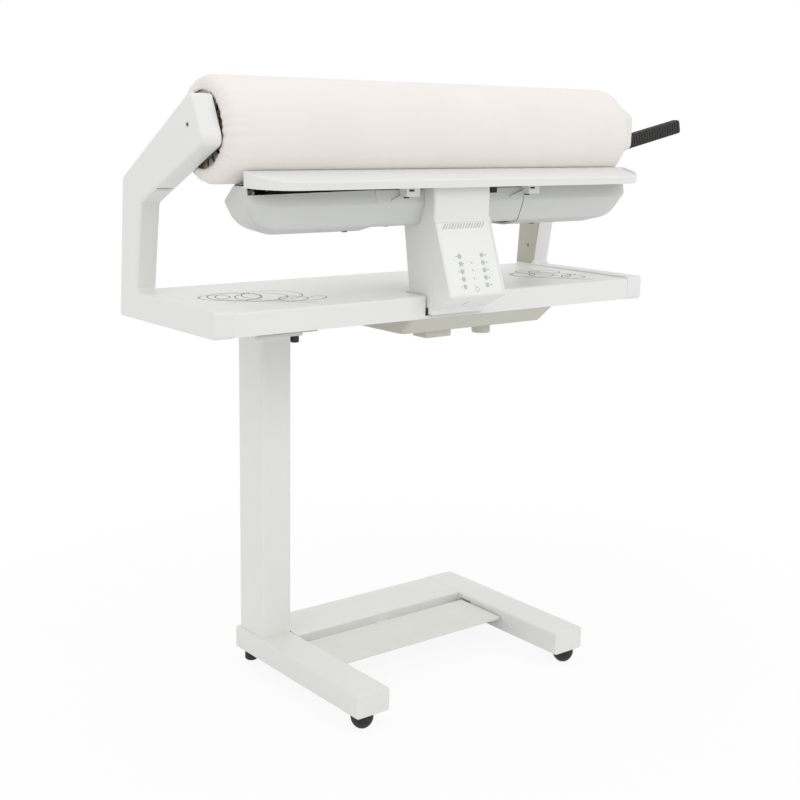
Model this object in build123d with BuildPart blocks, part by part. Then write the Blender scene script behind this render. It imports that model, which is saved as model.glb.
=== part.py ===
from build123d import *
import math
import os

os.makedirs("parts", exist_ok=True)

# A domestic rotary ironer on a stand with a foot pedal. Millimetres: X runs along the roller,
# -Y faces the person ironing, Z is up and the floor is z = 0.

# Whole machine
head_width = 960.0  # over both side casings
lever_reach = 193.0  # release lever beyond the right casing
table_height = 739.0  # top face of the work table
roller_rise = 272.0  # roller axis above the table
roller_y = -50.4
roller_radius = 84.0
running = 0.1  # gap on the diameter of every shaft in its bore
seat_gap = 0.3  # gap between pieces that slide together or lie close

head_x = -lever_reach / 2
head_left = head_x - head_width / 2
head_right = head_x + head_width / 2
roller_z = table_height + roller_rise
nip_z = roller_z - roller_radius

# Stand
base_width = 544.0
base_depth = 396.0
base_shift = 32.0  # base centre to the right of the head centre
leg_width = 70.0
leg_height = 43.0
leg_corner = 4.0
tube_wall = 2.5
glide_height = 27.0
glide_radius = 20.0
rear_glide_radius = 12.5
glide_foot_radius = 9.0
glide_inset = 22.0
rear_glide_inset = 13.0
glide_shift = 8.0  # glides out from the middle of the legs
glide_stud_radius = 4.0
crossbar_depth = 108.0
column_width = 64.0
column_depth = 83.0
column_inset = 6.0  # column in from the outer side of the leg
column_setback = 5.0  # column in front of the rear of the base
column_wall = 3.0
column_corner = 6.0
head_plate_thickness = 7.0
bracket_sheet = 3.0
bracket_rise = 49.0  # underside of the bracket below the table edge

base_left = head_x + base_shift - base_width / 2
base_right = head_x + base_shift + base_width / 2
base_rear = base_depth / 2
leg_inner_left = base_left + leg_width
leg_inner_right = base_right - leg_width
leg_top = glide_height + leg_height

# Foot pedal
pedal_depth = 121.0
pedal_rear = 74.0
pedal_height = 58.0
pedal_sheet = 3.0
pedal_cheek = 22.0
pedal_corner = 7.0
pedal_side_gap = 4.5
pedal_hinge_y = 66.0
pedal_hinge_z = 46.0
pedal_pin_radius = 4.0
pedal_bracket_sheet = 2.5

# Work table
column_cover_width = 125.0  # swing column that comes up through the table's notch
table_front = -146.0
table_rear = 171.0
table_drop = 40.0
table_sheet = 2.0
notch_gap = 4.0  # column cover to the sides of the notch
notch_rear = -86.0
notch_corner = 7.0
rail_width = 25.0
rail_drop = 20.0

table_bottom = table_height - table_drop
table_under = table_height - table_sheet
notch_half = column_cover_width / 2 + notch_gap

# Side casings
left_casing_width = 35.0
right_casing_width = 40.0
right_arm_width = 28.0  # the right casing is cut back round the roller
casing_wall = 2.5
casing_edge = 4.5
side_plate_thickness = 4.0
side_plate_inset = 1.0
casing_left = head_left + left_casing_width
casing_right = head_right - right_casing_width
arm_right = head_right - right_arm_width
foot_drop = 2.0  # casing feet below the table

# Roller and its drive
cloth_thickness = 2.7
cloth_gap_left = 3.0  # cloth to the left casing
cloth_gap_right = 10.0
cloth_turn_in = 8.0  # cloth over the rim of the tube
padding_thickness = 12.7
roller_tube_wall = 2.0
end_disc_thickness = 3.0
shaft_radius = 8.0
bush_radius = 12.0
gear_module = 1.5
gear_teeth = 38
pinion_teeth = 13
gear_width = 8.0
drive_angle = -28.9  # direction from the roller axis to the drive motor
drive_motor_radius = 30.0
drive_motor_length = 17.0

tube_radius = roller_radius - cloth_thickness - padding_thickness - 2 * seat_gap
cloth_opening = tube_radius - cloth_turn_in

# Swing head
swing_y = 40.0
swing_drop = 53.0  # swing axis below the table top
swing_shaft_radius = 6.0
swing_bearing_x = 45.0
swing_range = 3.8
cam_range = 170.0
cam_radius = 17.0
cam_y = 102.0
cam_thickness = 6.0
cover_wall = 2.5
panel_length = 138.2
panel_wall = 3.5
panel_border = 4.0
panel_top_border = 7.5
panel_sheet = 1.5
key_radius = 3.75
key_pitch = 13.2
key_stroke = 0.8

# Heated shoe and its covers
shoe_clearance = 1.0
shoe_thickness = 9.0
shoe_inset_left = 67.0
shoe_inset_right = 42.0
shoe_front_angle = 50.0
shoe_rear_angle = 104.0
rod_radius = 4.0
shoe_cover_left = 53.0  # middle of the cover's end in from the left casing
shoe_cover_right = 29.0
cover_end_slant = 0.274  # the ends run inwards towards the rear
centre_cover_half = 165.0
cover_end_length = 65.0
board_reach = 48.6  # board in front of the roller
bracket_setback = 33.0
board_left = 38.0  # board end in from the left casing
board_right = 4.0
board_skirt = 13.5
board_skirt_rear = 25.5
recess_start = 29.0  # hollow at the right end of the board
recess_rim = 3.5
recess_depth = 3.5
board_corner = 62.0

# Release lever
lever_pin_out = 10.0
lever_tilt = 12.2
grip_height = 27.0
grip_width = 20.0
grip_ribs = 22


def slab(x, y, z, mode=Mode.ADD):
    """A square-edged block between two limits along each axis."""
    with Locations(((x[0] + x[1]) / 2, (y[0] + y[1]) / 2, (z[0] + z[1]) / 2)):
        Box(x[1] - x[0], y[1] - y[0], z[1] - z[0], mode=mode)


def bar_x(x, y, z, radius, mode=Mode.ADD):
    """A round bar along X between two limits."""
    with Locations((x[0], y, z)):
        Cylinder(
            radius,
            x[1] - x[0],
            rotation=(0, 90, 0),
            align=(Align.CENTER, Align.CENTER, Align.MIN),
            mode=mode,
        )


def bar_y(x, y, z, radius, mode=Mode.ADD):
    """A round bar along Y between two limits."""
    with Locations((x, y[0], z)):
        Cylinder(
            radius,
            y[1] - y[0],
            rotation=(-90, 0, 0),
            align=(Align.CENTER, Align.CENTER, Align.MIN),
            mode=mode,
        )


def bar_z(x, y, z, radius, mode=Mode.ADD):
    """A round bar along Z between two limits."""
    with Locations((x, y, z[0])):
        Cylinder(radius, z[1] - z[0], align=(Align.CENTER, Align.CENTER, Align.MIN), mode=mode)


def rounded(plane, points, radii, grow=0.0):
    """A closed flat outline with its corners rounded, offset outwards by grow."""
    with BuildSketch(plane) as flat:
        with BuildLine():
            FilletPolyline(*points, radius=radii, close=True)
        make_face()
        if grow != 0:
            offset(amount=grow)
    return flat.sketch


def straight(plane, points):
    """A closed flat outline with sharp corners."""
    with BuildSketch(plane) as flat:
        with BuildLine():
            Polyline(*points, close=True)
        make_face()
    return flat.sketch


# ---------------------------------------------------------------- stand

leg_centres = ((base_left + leg_inner_left) / 2, (base_right + leg_inner_right) / 2)
glide_places = (leg_centres[0] - glide_shift, leg_centres[1] + glide_shift)
front_glide_y = -base_depth / 2 + glide_inset
rear_glide_y = base_rear - rear_glide_inset


def leg(x, glide_x):
    """A closed box-section leg with a threaded hole for each glide."""
    with BuildPart() as tube:
        slab(x, (-base_depth / 2, base_rear), (glide_height, leg_top))
        fillet(tube.edges().filter_by(Axis.Y), leg_corner)
        fillet(tube.faces().filter_by(Axis.Y).edges(), 1.5)
        slab(
            (x[0] + tube_wall, x[1] - tube_wall),
            (-base_depth / 2 + tube_wall, base_rear - tube_wall),
            (glide_height + tube_wall, leg_top - tube_wall),
            mode=Mode.SUBTRACT,
        )
        for y in (front_glide_y, rear_glide_y):
            bar_z(
                glide_x,
                y,
                (glide_height - 1, glide_height + tube_wall + 1),
                glide_stud_radius + seat_gap,
                mode=Mode.SUBTRACT,
            )
    return tube


left_leg = leg((base_left, leg_inner_left), glide_places[0])
left_leg.part.label = "left_leg"
export_step(left_leg.part, "parts/left_leg.step")

right_leg = leg((leg_inner_right, base_right), glide_places[1])
right_leg.part.label = "right_leg"
export_step(right_leg.part, "parts/right_leg.step")

# The crossbar butts between the legs, open where it meets them.
crossbar_front = base_rear - crossbar_depth
with BuildPart() as rear_crossbar:
    slab((leg_inner_left, leg_inner_right), (crossbar_front, base_rear), (glide_height, leg_top))
    fillet(rear_crossbar.edges().filter_by(Axis.X), leg_corner)
    slab(
        (leg_inner_left - 1, leg_inner_right + 1),
        (crossbar_front + tube_wall, base_rear - tube_wall),
        (glide_height + tube_wall, leg_top - tube_wall),
        mode=Mode.SUBTRACT,
    )
rear_crossbar.part.label = "rear_crossbar"
export_step(rear_crossbar.part, "parts/rear_crossbar.step")

# Domed glides on the front, plain ones at the rear, each with its stud.
stud_top = glide_height + tube_wall + 8
with BuildPart() as front_glides:
    for x in glide_places:
        with BuildSketch(Plane.XZ.offset(-front_glide_y)):
            with BuildLine():
                Line((x, 0), (x + glide_foot_radius, 0))
                ThreePointArc(
                    (x + glide_foot_radius, 0),
                    (x + glide_radius * 0.9, glide_height * 0.38),
                    (x + glide_radius, glide_height - 3),
                )
                Polyline(
                    (x + glide_radius, glide_height - 3),
                    (x + glide_radius - 1, glide_height),
                    (x + glide_stud_radius, glide_height),
                    (x + glide_stud_radius, stud_top),
                    (x, stud_top),
                    (x, 0),
                )
            make_face()
        revolve(axis=Axis((x, front_glide_y, 0), (0, 0, 1)))
front_glides.part.label = "front_glides"
export_step(front_glides.part, "parts/front_glides.step")

with BuildPart() as rear_glides:
    for x in glide_places:
        bar_z(x, rear_glide_y, (0, glide_height), rear_glide_radius)
        bar_z(x, rear_glide_y, (glide_height, stud_top), glide_stud_radius)
    chamfer(rear_glides.faces().sort_by(Axis.Z)[0:2].edges(), 2.5)
rear_glides.part.label = "rear_glides"
export_step(rear_glides.part, "parts/rear_glides.step")

# The square column stands on the left leg and ends in a plate that carries the head.
column_x = (base_left + column_inset, base_left + column_inset + column_width)
column_y = (base_rear - column_setback - column_depth, base_rear - column_setback)
bracket_bottom = table_bottom - bracket_rise
column_top = bracket_bottom - head_plate_thickness
head_plate_x = (column_x[0] - 17, column_x[1] + 20)
head_plate_y = (column_y[0] - 6, column_y[1] - 6)
knob_x = head_plate_x[1] - 8
knob_y = 118.0
knob_radius = 8.0
knob_stud_radius = 3.0
with BuildPart() as stand_column:
    slab(column_x, column_y, (leg_top, column_top))
    fillet(stand_column.edges().filter_by(Axis.Z), column_corner)
    slab(
        (column_x[0] + column_wall, column_x[1] - column_wall),
        (column_y[0] + column_wall, column_y[1] - column_wall),
        (leg_top - 1, column_top + 1),
        mode=Mode.SUBTRACT,
    )
    slab(head_plate_x, head_plate_y, (column_top, bracket_bottom))
    bar_z(
        knob_x,
        knob_y,
        (column_top - 1, bracket_bottom + 1),
        knob_stud_radius + running / 2,
        mode=Mode.SUBTRACT,
    )
stand_column.part.label = "stand_column"
export_step(stand_column.part, "parts/stand_column.step")

# Bracket under the table: its front flange meets the table, its rear flange the rear rail.
bracket_x = (column_x[0] - 17, column_x[1] + 48)
bracket_y = (96.0, 164.0)
rear_rail_y = 140.0
with BuildPart() as head_bracket:
    slab(bracket_x, bracket_y, (bracket_bottom, bracket_bottom + bracket_sheet))
    slab(bracket_x, (bracket_y[0], bracket_y[0] + bracket_sheet), (bracket_bottom, table_under))
    slab(
        bracket_x,
        (rear_rail_y, rear_rail_y + bracket_sheet),
        (bracket_bottom, table_under - rail_drop),
    )
    bar_z(
        knob_x,
        knob_y,
        (bracket_bottom - 1, bracket_bottom + bracket_sheet + 1),
        knob_stud_radius + running / 2,
        mode=Mode.SUBTRACT,
    )
head_bracket.part.label = "head_bracket"
export_step(head_bracket.part, "parts/head_bracket.step")

# Clamp knob with a gripping rim and the stud that goes up through both plates.
with BuildPart() as stand_knob:
    bar_z(knob_x, knob_y, (column_top - 14, column_top - seat_gap), knob_radius)
    fillet(stand_knob.faces().sort_by(Axis.Z)[0].edges(), 2)
    with Locations((knob_x, knob_y, column_top - 14)):
        with PolarLocations(knob_radius + 1, 8):
            Cylinder(2, 14, align=(Align.CENTER, Align.CENTER, Align.MIN), mode=Mode.SUBTRACT)
    bar_z(knob_x, knob_y, (column_top - 4, bracket_bottom + bracket_sheet + 8), knob_stud_radius)
stand_knob.part.label = "stand_knob"
export_step(stand_knob.part, "parts/stand_knob.step")

# ---------------------------------------------------------------- foot pedal

pedal_x = (leg_inner_left + pedal_side_gap, leg_inner_right - pedal_side_gap)
pedal_y = (pedal_rear - pedal_depth, pedal_rear)
pedal_under = pedal_height - pedal_sheet
pedal_skirt = pedal_height - pedal_cheek
with BuildPart() as pedal_plate:
    slab(pedal_x, pedal_y, (pedal_under, pedal_height))
    fillet(pedal_plate.edges().filter_by(Axis.Z).group_by(Axis.Y)[0], pedal_corner)
    for start in (pedal_x[0], pedal_x[1] - pedal_sheet):
        cheek = straight(
            Plane.YZ.offset(start),
            [
                (pedal_y[0] + pedal_corner, pedal_under + 1),
                (pedal_y[0] + pedal_corner, pedal_under - 6),
                (pedal_y[0] + 34, pedal_skirt),
                (pedal_y[1], pedal_skirt),
                (pedal_y[1], pedal_under + 1),
            ],
        )
        extrude(cheek, amount=pedal_sheet)
    bar_x(
        (pedal_x[0] - 1, pedal_x[1] + 1),
        pedal_hinge_y,
        pedal_hinge_z,
        pedal_pin_radius + running / 2,
        mode=Mode.SUBTRACT,
    )
pedal_plate.part.label = "pedal_plate"
export_step(pedal_plate.part, "parts/pedal_plate.step")

# Side brackets on the legs carry the hinge pins of the pedal.
pedal_pins = (
    (leg_inner_left, leg_inner_left + 22),
    (leg_inner_right - 22, leg_inner_right),
)
with BuildPart() as pedal_brackets:
    for start in (leg_inner_left, leg_inner_right - pedal_bracket_sheet):
        with BuildSketch(Plane.YZ.offset(start)):
            with Locations((pedal_hinge_y, pedal_hinge_z)):
                RectangleRounded(34, 28, 5)
        extrude(amount=pedal_bracket_sheet)
    for pin in pedal_pins:
        bar_x(pin, pedal_hinge_y, pedal_hinge_z, pedal_pin_radius)
pedal_brackets.part.label = "pedal_brackets"
export_step(pedal_brackets.part, "parts/pedal_brackets.step")

# Return springs: closed sleeves round the pins, just inside the cheeks of the pedal.
with BuildPart() as pedal_springs:
    for x in (
        (pedal_x[0] + pedal_sheet + 1, leg_inner_left + 20),
        (leg_inner_right - 20, pedal_x[1] - pedal_sheet - 1),
    ):
        bar_x(x, pedal_hinge_y, pedal_hinge_z, pedal_pin_radius + 3)
        bar_x(x, pedal_hinge_y, pedal_hinge_z, pedal_pin_radius, mode=Mode.SUBTRACT)
pedal_springs.part.label = "pedal_springs"
export_step(pedal_springs.part, "parts/pedal_springs.step")

# Switch box on the crossbar, its tongue just under the pedal plate.
switch_x = (leg_inner_left + leg_inner_right) / 2
with BuildPart() as pedal_switch:
    slab((switch_x - 14, switch_x + 14), (crossbar_front - 10, crossbar_front), (36, 52))
    fillet(pedal_switch.edges().filter_by(Axis.Z), 1.5)
    slab((switch_x - 4, switch_x + 4), (crossbar_front - 46, crossbar_front - 9), (50.4, 51.6))
pedal_switch.part.label = "pedal_switch"
export_step(pedal_switch.part, "parts/pedal_switch.step")

# ---------------------------------------------------------------- head frame

# Folded table: top, front and rear walls, with a lined notch for the swing column.
with BuildPart() as table_panel:
    profile = rounded(
        Plane.YZ.offset(casing_left),
        [
            (table_rear, table_bottom),
            (table_rear, table_height),
            (table_front, table_height),
            (table_front, table_bottom),
            (table_front + table_sheet, table_bottom),
            (table_front + table_sheet, table_under),
            (table_rear - table_sheet, table_under),
            (table_rear - table_sheet, table_bottom),
        ],
        [0, 4, 5, 0, 0, 3, 2, 0],
    )
    extrude(profile, amount=casing_right - casing_left)
    with BuildSketch(Plane.XY.offset(table_bottom)):
        with Locations((head_x, (table_front + notch_rear) / 2 - 10)):
            RectangleRounded(
                2 * notch_half + 2 * table_sheet,
                notch_rear - table_front + 20 + 2 * table_sheet,
                notch_corner + table_sheet,
            )
    extrude(amount=table_drop - table_sheet)
    with BuildSketch(Plane.XY.offset(table_bottom - 1)):
        with Locations((head_x, (table_front + notch_rear) / 2 - 10)):
            RectangleRounded(2 * notch_half, notch_rear - table_front + 20, notch_corner)
    extrude(amount=table_drop + 2, mode=Mode.SUBTRACT)
    slab(
        (casing_left, casing_right),
        (table_front - 40, table_front),
        (table_bottom - 1, table_height + 1),
        mode=Mode.SUBTRACT,
    )
    slab(
        (head_x - 42, head_x + 42),
        (notch_rear - 2, notch_rear + 2 * table_sheet),
        (table_bottom - 1, table_bottom + 18),
        mode=Mode.SUBTRACT,
    )
    slab(
        (head_x - notch_half - 1, head_x + notch_half + 1),
        (table_front, table_front + 6),
        (table_bottom, table_bottom + 5.5),
    )
table_panel.part.label = "table_panel"
export_step(table_panel.part, "parts/table_panel.step")

# Two upward-open channels stiffen the table from side to side.
with BuildPart() as cross_rails:
    for y in (-30.0, rear_rail_y):
        slab((casing_left, casing_right), (y, y + rail_width), (table_under - rail_drop, table_under))
        slab(
            (casing_left - 1, casing_right + 1),
            (y + table_sheet, y + rail_width - table_sheet),
            (table_under - rail_drop + table_sheet, table_under + 1),
            mode=Mode.SUBTRACT,
        )
cross_rails.part.label = "cross_rails"
export_step(cross_rails.part, "parts/cross_rails.step")

# Side outlines: a foot under the table, a leaning post and an arm that ends over the roller.
left_outline = [
    (table_rear, table_bottom - foot_drop),
    (149.0, table_height + 192),
    (-74.0, roller_z + 55),
    (-87.0, roller_z + 52),
    (-114.0, roller_z - 7),
    (-114.0, roller_z - 21),
    (86.3, table_height + 152),
    (108.3, table_height + 3),
    (table_front - 1, table_height + 3),
    (table_front - 1, table_bottom - foot_drop),
]
left_radii = [6, 14, 8, 8, 12, 12, 10, 8, 6, 8]
right_outline = [
    (table_rear, table_bottom - foot_drop),
    (155.0, table_height + 192),
    (-74.0, roller_z + 53),
    (-102.0, roller_z + 35),
    (-102.0, roller_z - 24),
    (93.0, table_height + 156),
    (117.0, table_height + 3),
    (table_front - 1, table_height + 3),
    (table_front - 1, table_bottom - foot_drop),
]
right_radii = [6, 14, 12, 12, 12, 10, 8, 6, 8]

# Underside of the left arm, where the joint cover and its slot lie.
arm_slope = math.atan2(
    left_outline[6][1] - left_outline[5][1],
    left_outline[6][0] - left_outline[5][0],
)
arm_under = Plane(
    origin=((head_left + casing_left) / 2, left_outline[6][0], left_outline[6][1]),
    x_dir=(0, math.cos(arm_slope), math.sin(arm_slope)),
    z_dir=(0, math.sin(arm_slope), -math.cos(arm_slope)),
)
joint_from_bend = 10.0
joint_length = 44.0
joint_thickness = 1.5
joint_slot = 4.0

# Left casing: a shell that opens towards the roller.
with BuildPart() as left_casing:
    extrude(rounded(Plane.YZ.offset(head_left), left_outline, left_radii), amount=left_casing_width)
    fillet(left_casing.faces().sort_by(Axis.X)[0].edges(), casing_edge)
    inside = rounded(
        Plane.YZ.offset(head_left + casing_wall), left_outline, left_radii, grow=-casing_wall
    )
    extrude(inside, amount=left_casing_width, mode=Mode.SUBTRACT)
    with BuildSketch(arm_under):
        with Locations((-joint_from_bend - joint_length - 5, 1.5)):
            Rectangle(joint_slot, left_casing_width - 3)
    extrude(amount=-2 * casing_wall, mode=Mode.SUBTRACT)
left_casing.part.label = "left_casing"
export_step(left_casing.part, "parts/left_casing.step")

with BuildPart() as left_joint_cover:
    with BuildSketch(arm_under):
        with Locations((-joint_from_bend - joint_length / 2, 0)):
            RectangleRounded(joint_length, left_casing_width - 2 * casing_edge - 2, 3)
    extrude(amount=joint_thickness)
left_joint_cover.part.label = "left_joint_cover"
export_step(left_joint_cover.part, "parts/left_joint_cover.step")

# Right casing: closed round its post and foot, cut back and open where it passes the roller.
arm_cut_y = 60.0
arm_cut_z = table_height + 60


def right_hollow(x, post_only):
    """The hollow of the right casing between two limits along X."""
    with BuildPart() as hollow:
        shape = rounded(Plane.YZ.offset(x[0]), right_outline, right_radii, grow=-casing_wall)
        extrude(shape, amount=x[1] - x[0])
        if post_only:
            slab(
                (x[0] - 1, x[1] + 1),
                (-300, arm_cut_y + casing_wall),
                (arm_cut_z - casing_wall, roller_z + 200),
                mode=Mode.SUBTRACT,
            )
    return hollow.part


with BuildPart() as right_casing:
    extrude(rounded(Plane.YZ.offset(casing_right), right_outline, right_radii), amount=right_casing_width)
    fillet(right_casing.faces().sort_by(Axis.X)[-1].edges(), casing_edge)
    slab(
        (casing_right - 1, arm_right),
        (-300, arm_cut_y),
        (arm_cut_z, roller_z + 200),
        mode=Mode.SUBTRACT,
    )
    add(right_hollow((casing_right + casing_wall, arm_right), True), mode=Mode.SUBTRACT)
    add(right_hollow((arm_right, head_right - casing_wall), False), mode=Mode.SUBTRACT)
right_casing.part.label = "right_casing"
export_step(right_casing.part, "parts/right_casing.step")


def side_plate(inner_x, points, radii):
    """A steel plate just inside a casing's rim, bored for the roller's bush."""
    with BuildPart() as plate:
        shape = rounded(Plane.YZ.offset(inner_x), points, radii, grow=-casing_wall - seat_gap)
        extrude(shape, amount=side_plate_thickness)
        bar_x(
            (inner_x - 1, inner_x + side_plate_thickness + 1),
            roller_y,
            roller_z,
            bush_radius,
            mode=Mode.SUBTRACT,
        )
    return plate


left_plate_x = casing_left - side_plate_inset - side_plate_thickness
right_plate_x = arm_right + side_plate_inset
left_inner_plate = side_plate(left_plate_x, left_outline, left_radii)
left_inner_plate.part.label = "left_inner_plate"
export_step(left_inner_plate.part, "parts/left_inner_plate.step")

right_inner_plate = side_plate(right_plate_x, right_outline, right_radii)
right_inner_plate.part.label = "right_inner_plate"
export_step(right_inner_plate.part, "parts/right_inner_plate.step")

with BuildPart() as roller_bushes:
    for x in (
        (left_plate_x, left_plate_x + side_plate_thickness + 1),
        (right_plate_x - 1, right_plate_x + side_plate_thickness),
    ):
        bar_x(x, roller_y, roller_z, bush_radius)
        bar_x(x, roller_y, roller_z, shaft_radius + running / 2, mode=Mode.SUBTRACT)
roller_bushes.part.label = "roller_bushes"
export_step(roller_bushes.part, "parts/roller_bushes.step")

# ---------------------------------------------------------------- housing under the table

housing_x = (head_x - 91, head_x + 246)
housing_y = (-143.0, 140.0)
housing_front_slope = 32.0
housing_drop = 30.0
housing_bottom = table_bottom - housing_drop


def tray(top, grow, bottom):
    """A tapered block: narrower and set back at the bottom."""
    with BuildPart() as block:
        for height, front, side in ((top, 0.0, 0.0), (bottom, housing_front_slope, 4.0)):
            with BuildSketch(Plane.XY.offset(height)):
                with Locations(
                    ((housing_x[0] + housing_x[1]) / 2, (housing_y[0] + front + housing_y[1]) / 2)
                ):
                    RectangleRounded(
                        housing_x[1] - housing_x[0] - 2 * side + 2 * grow,
                        housing_y[1] - housing_y[0] - front + 2 * grow,
                        10 + grow,
                    )
        loft()
    return block.part


with BuildPart() as under_housing:
    add(tray(table_bottom, 0.0, housing_bottom))
    add(tray(table_bottom + 1, -cover_wall, housing_bottom + cover_wall), mode=Mode.SUBTRACT)
under_housing.part.label = "under_housing"
export_step(under_housing.part, "parts/under_housing.step")

with BuildPart() as inlet_box:
    slab(
        (head_x - 25, head_x + 33),
        (housing_y[0] + housing_front_slope + 11, housing_y[0] + housing_front_slope + 51),
        (housing_bottom - 14, housing_bottom),
    )
    fillet(inlet_box.edges().filter_by(Axis.Z), 3)
    fillet(inlet_box.faces().sort_by(Axis.Z)[0].edges(), 1.5)
inlet_box.part.label = "inlet_box"
export_step(inlet_box.part, "parts/inlet_box.step")

cap_x = head_x + 128
cap_y = -72.0
with BuildPart() as service_cap:
    bar_z(cap_x, cap_y, (housing_bottom - 19, housing_bottom), 17)
    fillet(service_cap.faces().sort_by(Axis.Z)[0].edges(), 2)
service_cap.part.label = "service_cap"
export_step(service_cap.part, "parts/service_cap.step")

# ---------------------------------------------------------------- swing axis and its drive

swing_z = table_height - swing_drop
bearing_plates = (
    (head_x - swing_bearing_x - 5, head_x - swing_bearing_x),
    (head_x + swing_bearing_x, head_x + swing_bearing_x + 5),
)
with BuildPart() as swing_bearings:
    for x in bearing_plates:
        slab(x, (swing_y - 20, swing_y + 20), (swing_z - 12, table_under))
        fillet(swing_bearings.edges().filter_by(Axis.X).group_by(Axis.Z)[0], 8)
        bar_x(
            (x[0] - 1, x[1] + 1),
            swing_y,
            swing_z,
            swing_shaft_radius,
            mode=Mode.SUBTRACT,
        )
swing_bearings.part.label = "swing_bearings"
export_step(swing_bearings.part, "parts/swing_bearings.step")

with BuildPart() as swing_shaft:
    bar_x(
        (bearing_plates[0][0] - 2, bearing_plates[1][1] + 2),
        swing_y,
        swing_z,
        swing_shaft_radius,
    )
swing_shaft.part.label = "swing_shaft"
export_step(swing_shaft.part, "parts/swing_shaft.step")

# The cam lies on a follower at the rear of the swing arm. Over its working angle its radius
# falls by the lift of the follower, so the two stay together while the head opens.
follower_radius = 6.0
follower_y = cam_y
follower_arm = follower_y - swing_y
follower_lift = follower_arm * math.radians(swing_range)
cam_z = swing_z + 2 + follower_radius + cam_radius
cam_x = (head_x + 14, head_x + 14 + cam_thickness)
cam_shaft_radius = 5.0
gearbox_x = (head_x + 30, head_x + 85)


def cam_point(angle):
    """Rim of the cam at an angle that falls away from its lowest point."""
    if angle <= cam_range:
        fall = follower_lift * angle / cam_range
    else:
        fall = follower_lift * (360 - angle) / (360 - cam_range)
    reach = cam_radius - seat_gap - fall
    turn = math.radians(270 - angle)
    return (cam_y + reach * math.cos(turn), cam_z + reach * math.sin(turn))


with BuildPart() as press_cam:
    with BuildSketch(Plane.YZ.offset(cam_x[0])):
        with BuildLine():
            Spline(*[cam_point(step * 15) for step in range(24)], periodic=True)
        make_face()
    extrude(amount=cam_thickness)
    bar_x((cam_x[0] - 4, gearbox_x[0] + 14), cam_y, cam_z, cam_shaft_radius)
press_cam.part.label = "press_cam"
export_step(press_cam.part, "parts/press_cam.step")

with BuildPart() as press_motor:
    slab(gearbox_x, (cam_y - 27, cam_y + 27), (cam_z - 27, table_under))
    fillet(press_motor.edges().filter_by(Axis.Z), 4)
    bar_x((gearbox_x[1], gearbox_x[1] + 75), cam_y, cam_z, 22)
    bar_x(
        (gearbox_x[0] - 1, gearbox_x[0] + 16),
        cam_y,
        cam_z,
        cam_shaft_radius + running / 2,
        mode=Mode.SUBTRACT,
    )
press_motor.part.label = "press_motor"
export_step(press_motor.part, "parts/press_motor.step")

# ---------------------------------------------------------------- swing head

# Column cover: a sleeve that comes up through the notch and leans back to the shoe.
cover_bottom = table_height - 21
apron_bottom = table_height - 32
apron_back = table_front - 3
cover_top = nip_z - 10
column_front = -160.0
column_back_low = -98.0
column_back_high = -70.0
cover_half = column_cover_width / 2
cover_side = [
    (column_front, cover_top),
    (column_front, apron_bottom),
    (apron_back, apron_bottom),
    (apron_back, cover_bottom),
    (column_back_low, cover_bottom),
    (column_back_low + 2, table_height + 6),
    (column_back_high - 5, cover_top - 37),
    (column_back_high, cover_top),
]
cover_side_inner = [
    (column_front + cover_wall, cover_top + 1),
    (column_front + cover_wall, apron_bottom - 1),
    (apron_back + 1, apron_bottom - 1),
    (apron_back + 1, cover_bottom - 1),
    (column_back_low - cover_wall, cover_bottom - 1),
    (column_back_low + 2 - cover_wall, table_height + 6),
    (column_back_high - 5 - cover_wall, cover_top - 37),
    (column_back_high - cover_wall, cover_top + 1),
]
beam_y = (roller_y - 55, roller_y - 15)
beam_z = (nip_z - 57, nip_z - 37)
with BuildPart() as column_cover:
    extrude(straight(Plane.YZ.offset(head_x - cover_half), cover_side), amount=column_cover_width)
    fillet(column_cover.edges().filter_by(Axis.Z).group_by(Axis.Y)[0], 5)
    extrude(
        straight(Plane.YZ.offset(head_x - cover_half + cover_wall), cover_side_inner),
        amount=column_cover_width - 2 * cover_wall,
        mode=Mode.SUBTRACT,
    )
    slab(
        (head_x - cover_half - 1, head_x + cover_half + 1),
        (beam_y[0] - 3, 0),
        (beam_z[0] - 4, cover_top + 1),
        mode=Mode.SUBTRACT,
    )
column_cover.part.label = "column_cover"
export_step(column_cover.part, "parts/column_cover.step")

# Panel housing: a wedge on the front of the column, its face leaning towards the user.
panel_foot = (-207.0, table_height + 1)
panel_lean = math.asin((column_front - panel_foot[0]) / panel_length)
chin = (column_front, table_height - 23)
panel_plane = Plane(
    origin=(head_x, panel_foot[0], panel_foot[1]),
    x_dir=(1, 0, 0),
    z_dir=(0, -math.cos(panel_lean), math.sin(panel_lean)),
)
panel_top = (column_front, panel_foot[1] + panel_length * math.cos(panel_lean))
panel_half = cover_half - panel_border
panel_low = panel_border
panel_high = panel_length - panel_top_border
panel_middle = (panel_low + panel_high) / 2
wedge = [panel_top, panel_foot, chin]


def wedge_inside():
    """The hollow of the wedge, open towards the column."""
    with BuildSketch(Plane.YZ.offset(head_x - cover_half + panel_wall)) as flat:
        with BuildLine():
            Polyline(*wedge, close=True)
        make_face()
        offset(amount=-panel_wall, kind=Kind.INTERSECTION)
        with Locations((column_front - panel_wall, (chin[1] + panel_top[1]) / 2)):
            Rectangle(2 * panel_wall + 2, panel_length * 0.7)
    return flat.sketch


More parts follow.
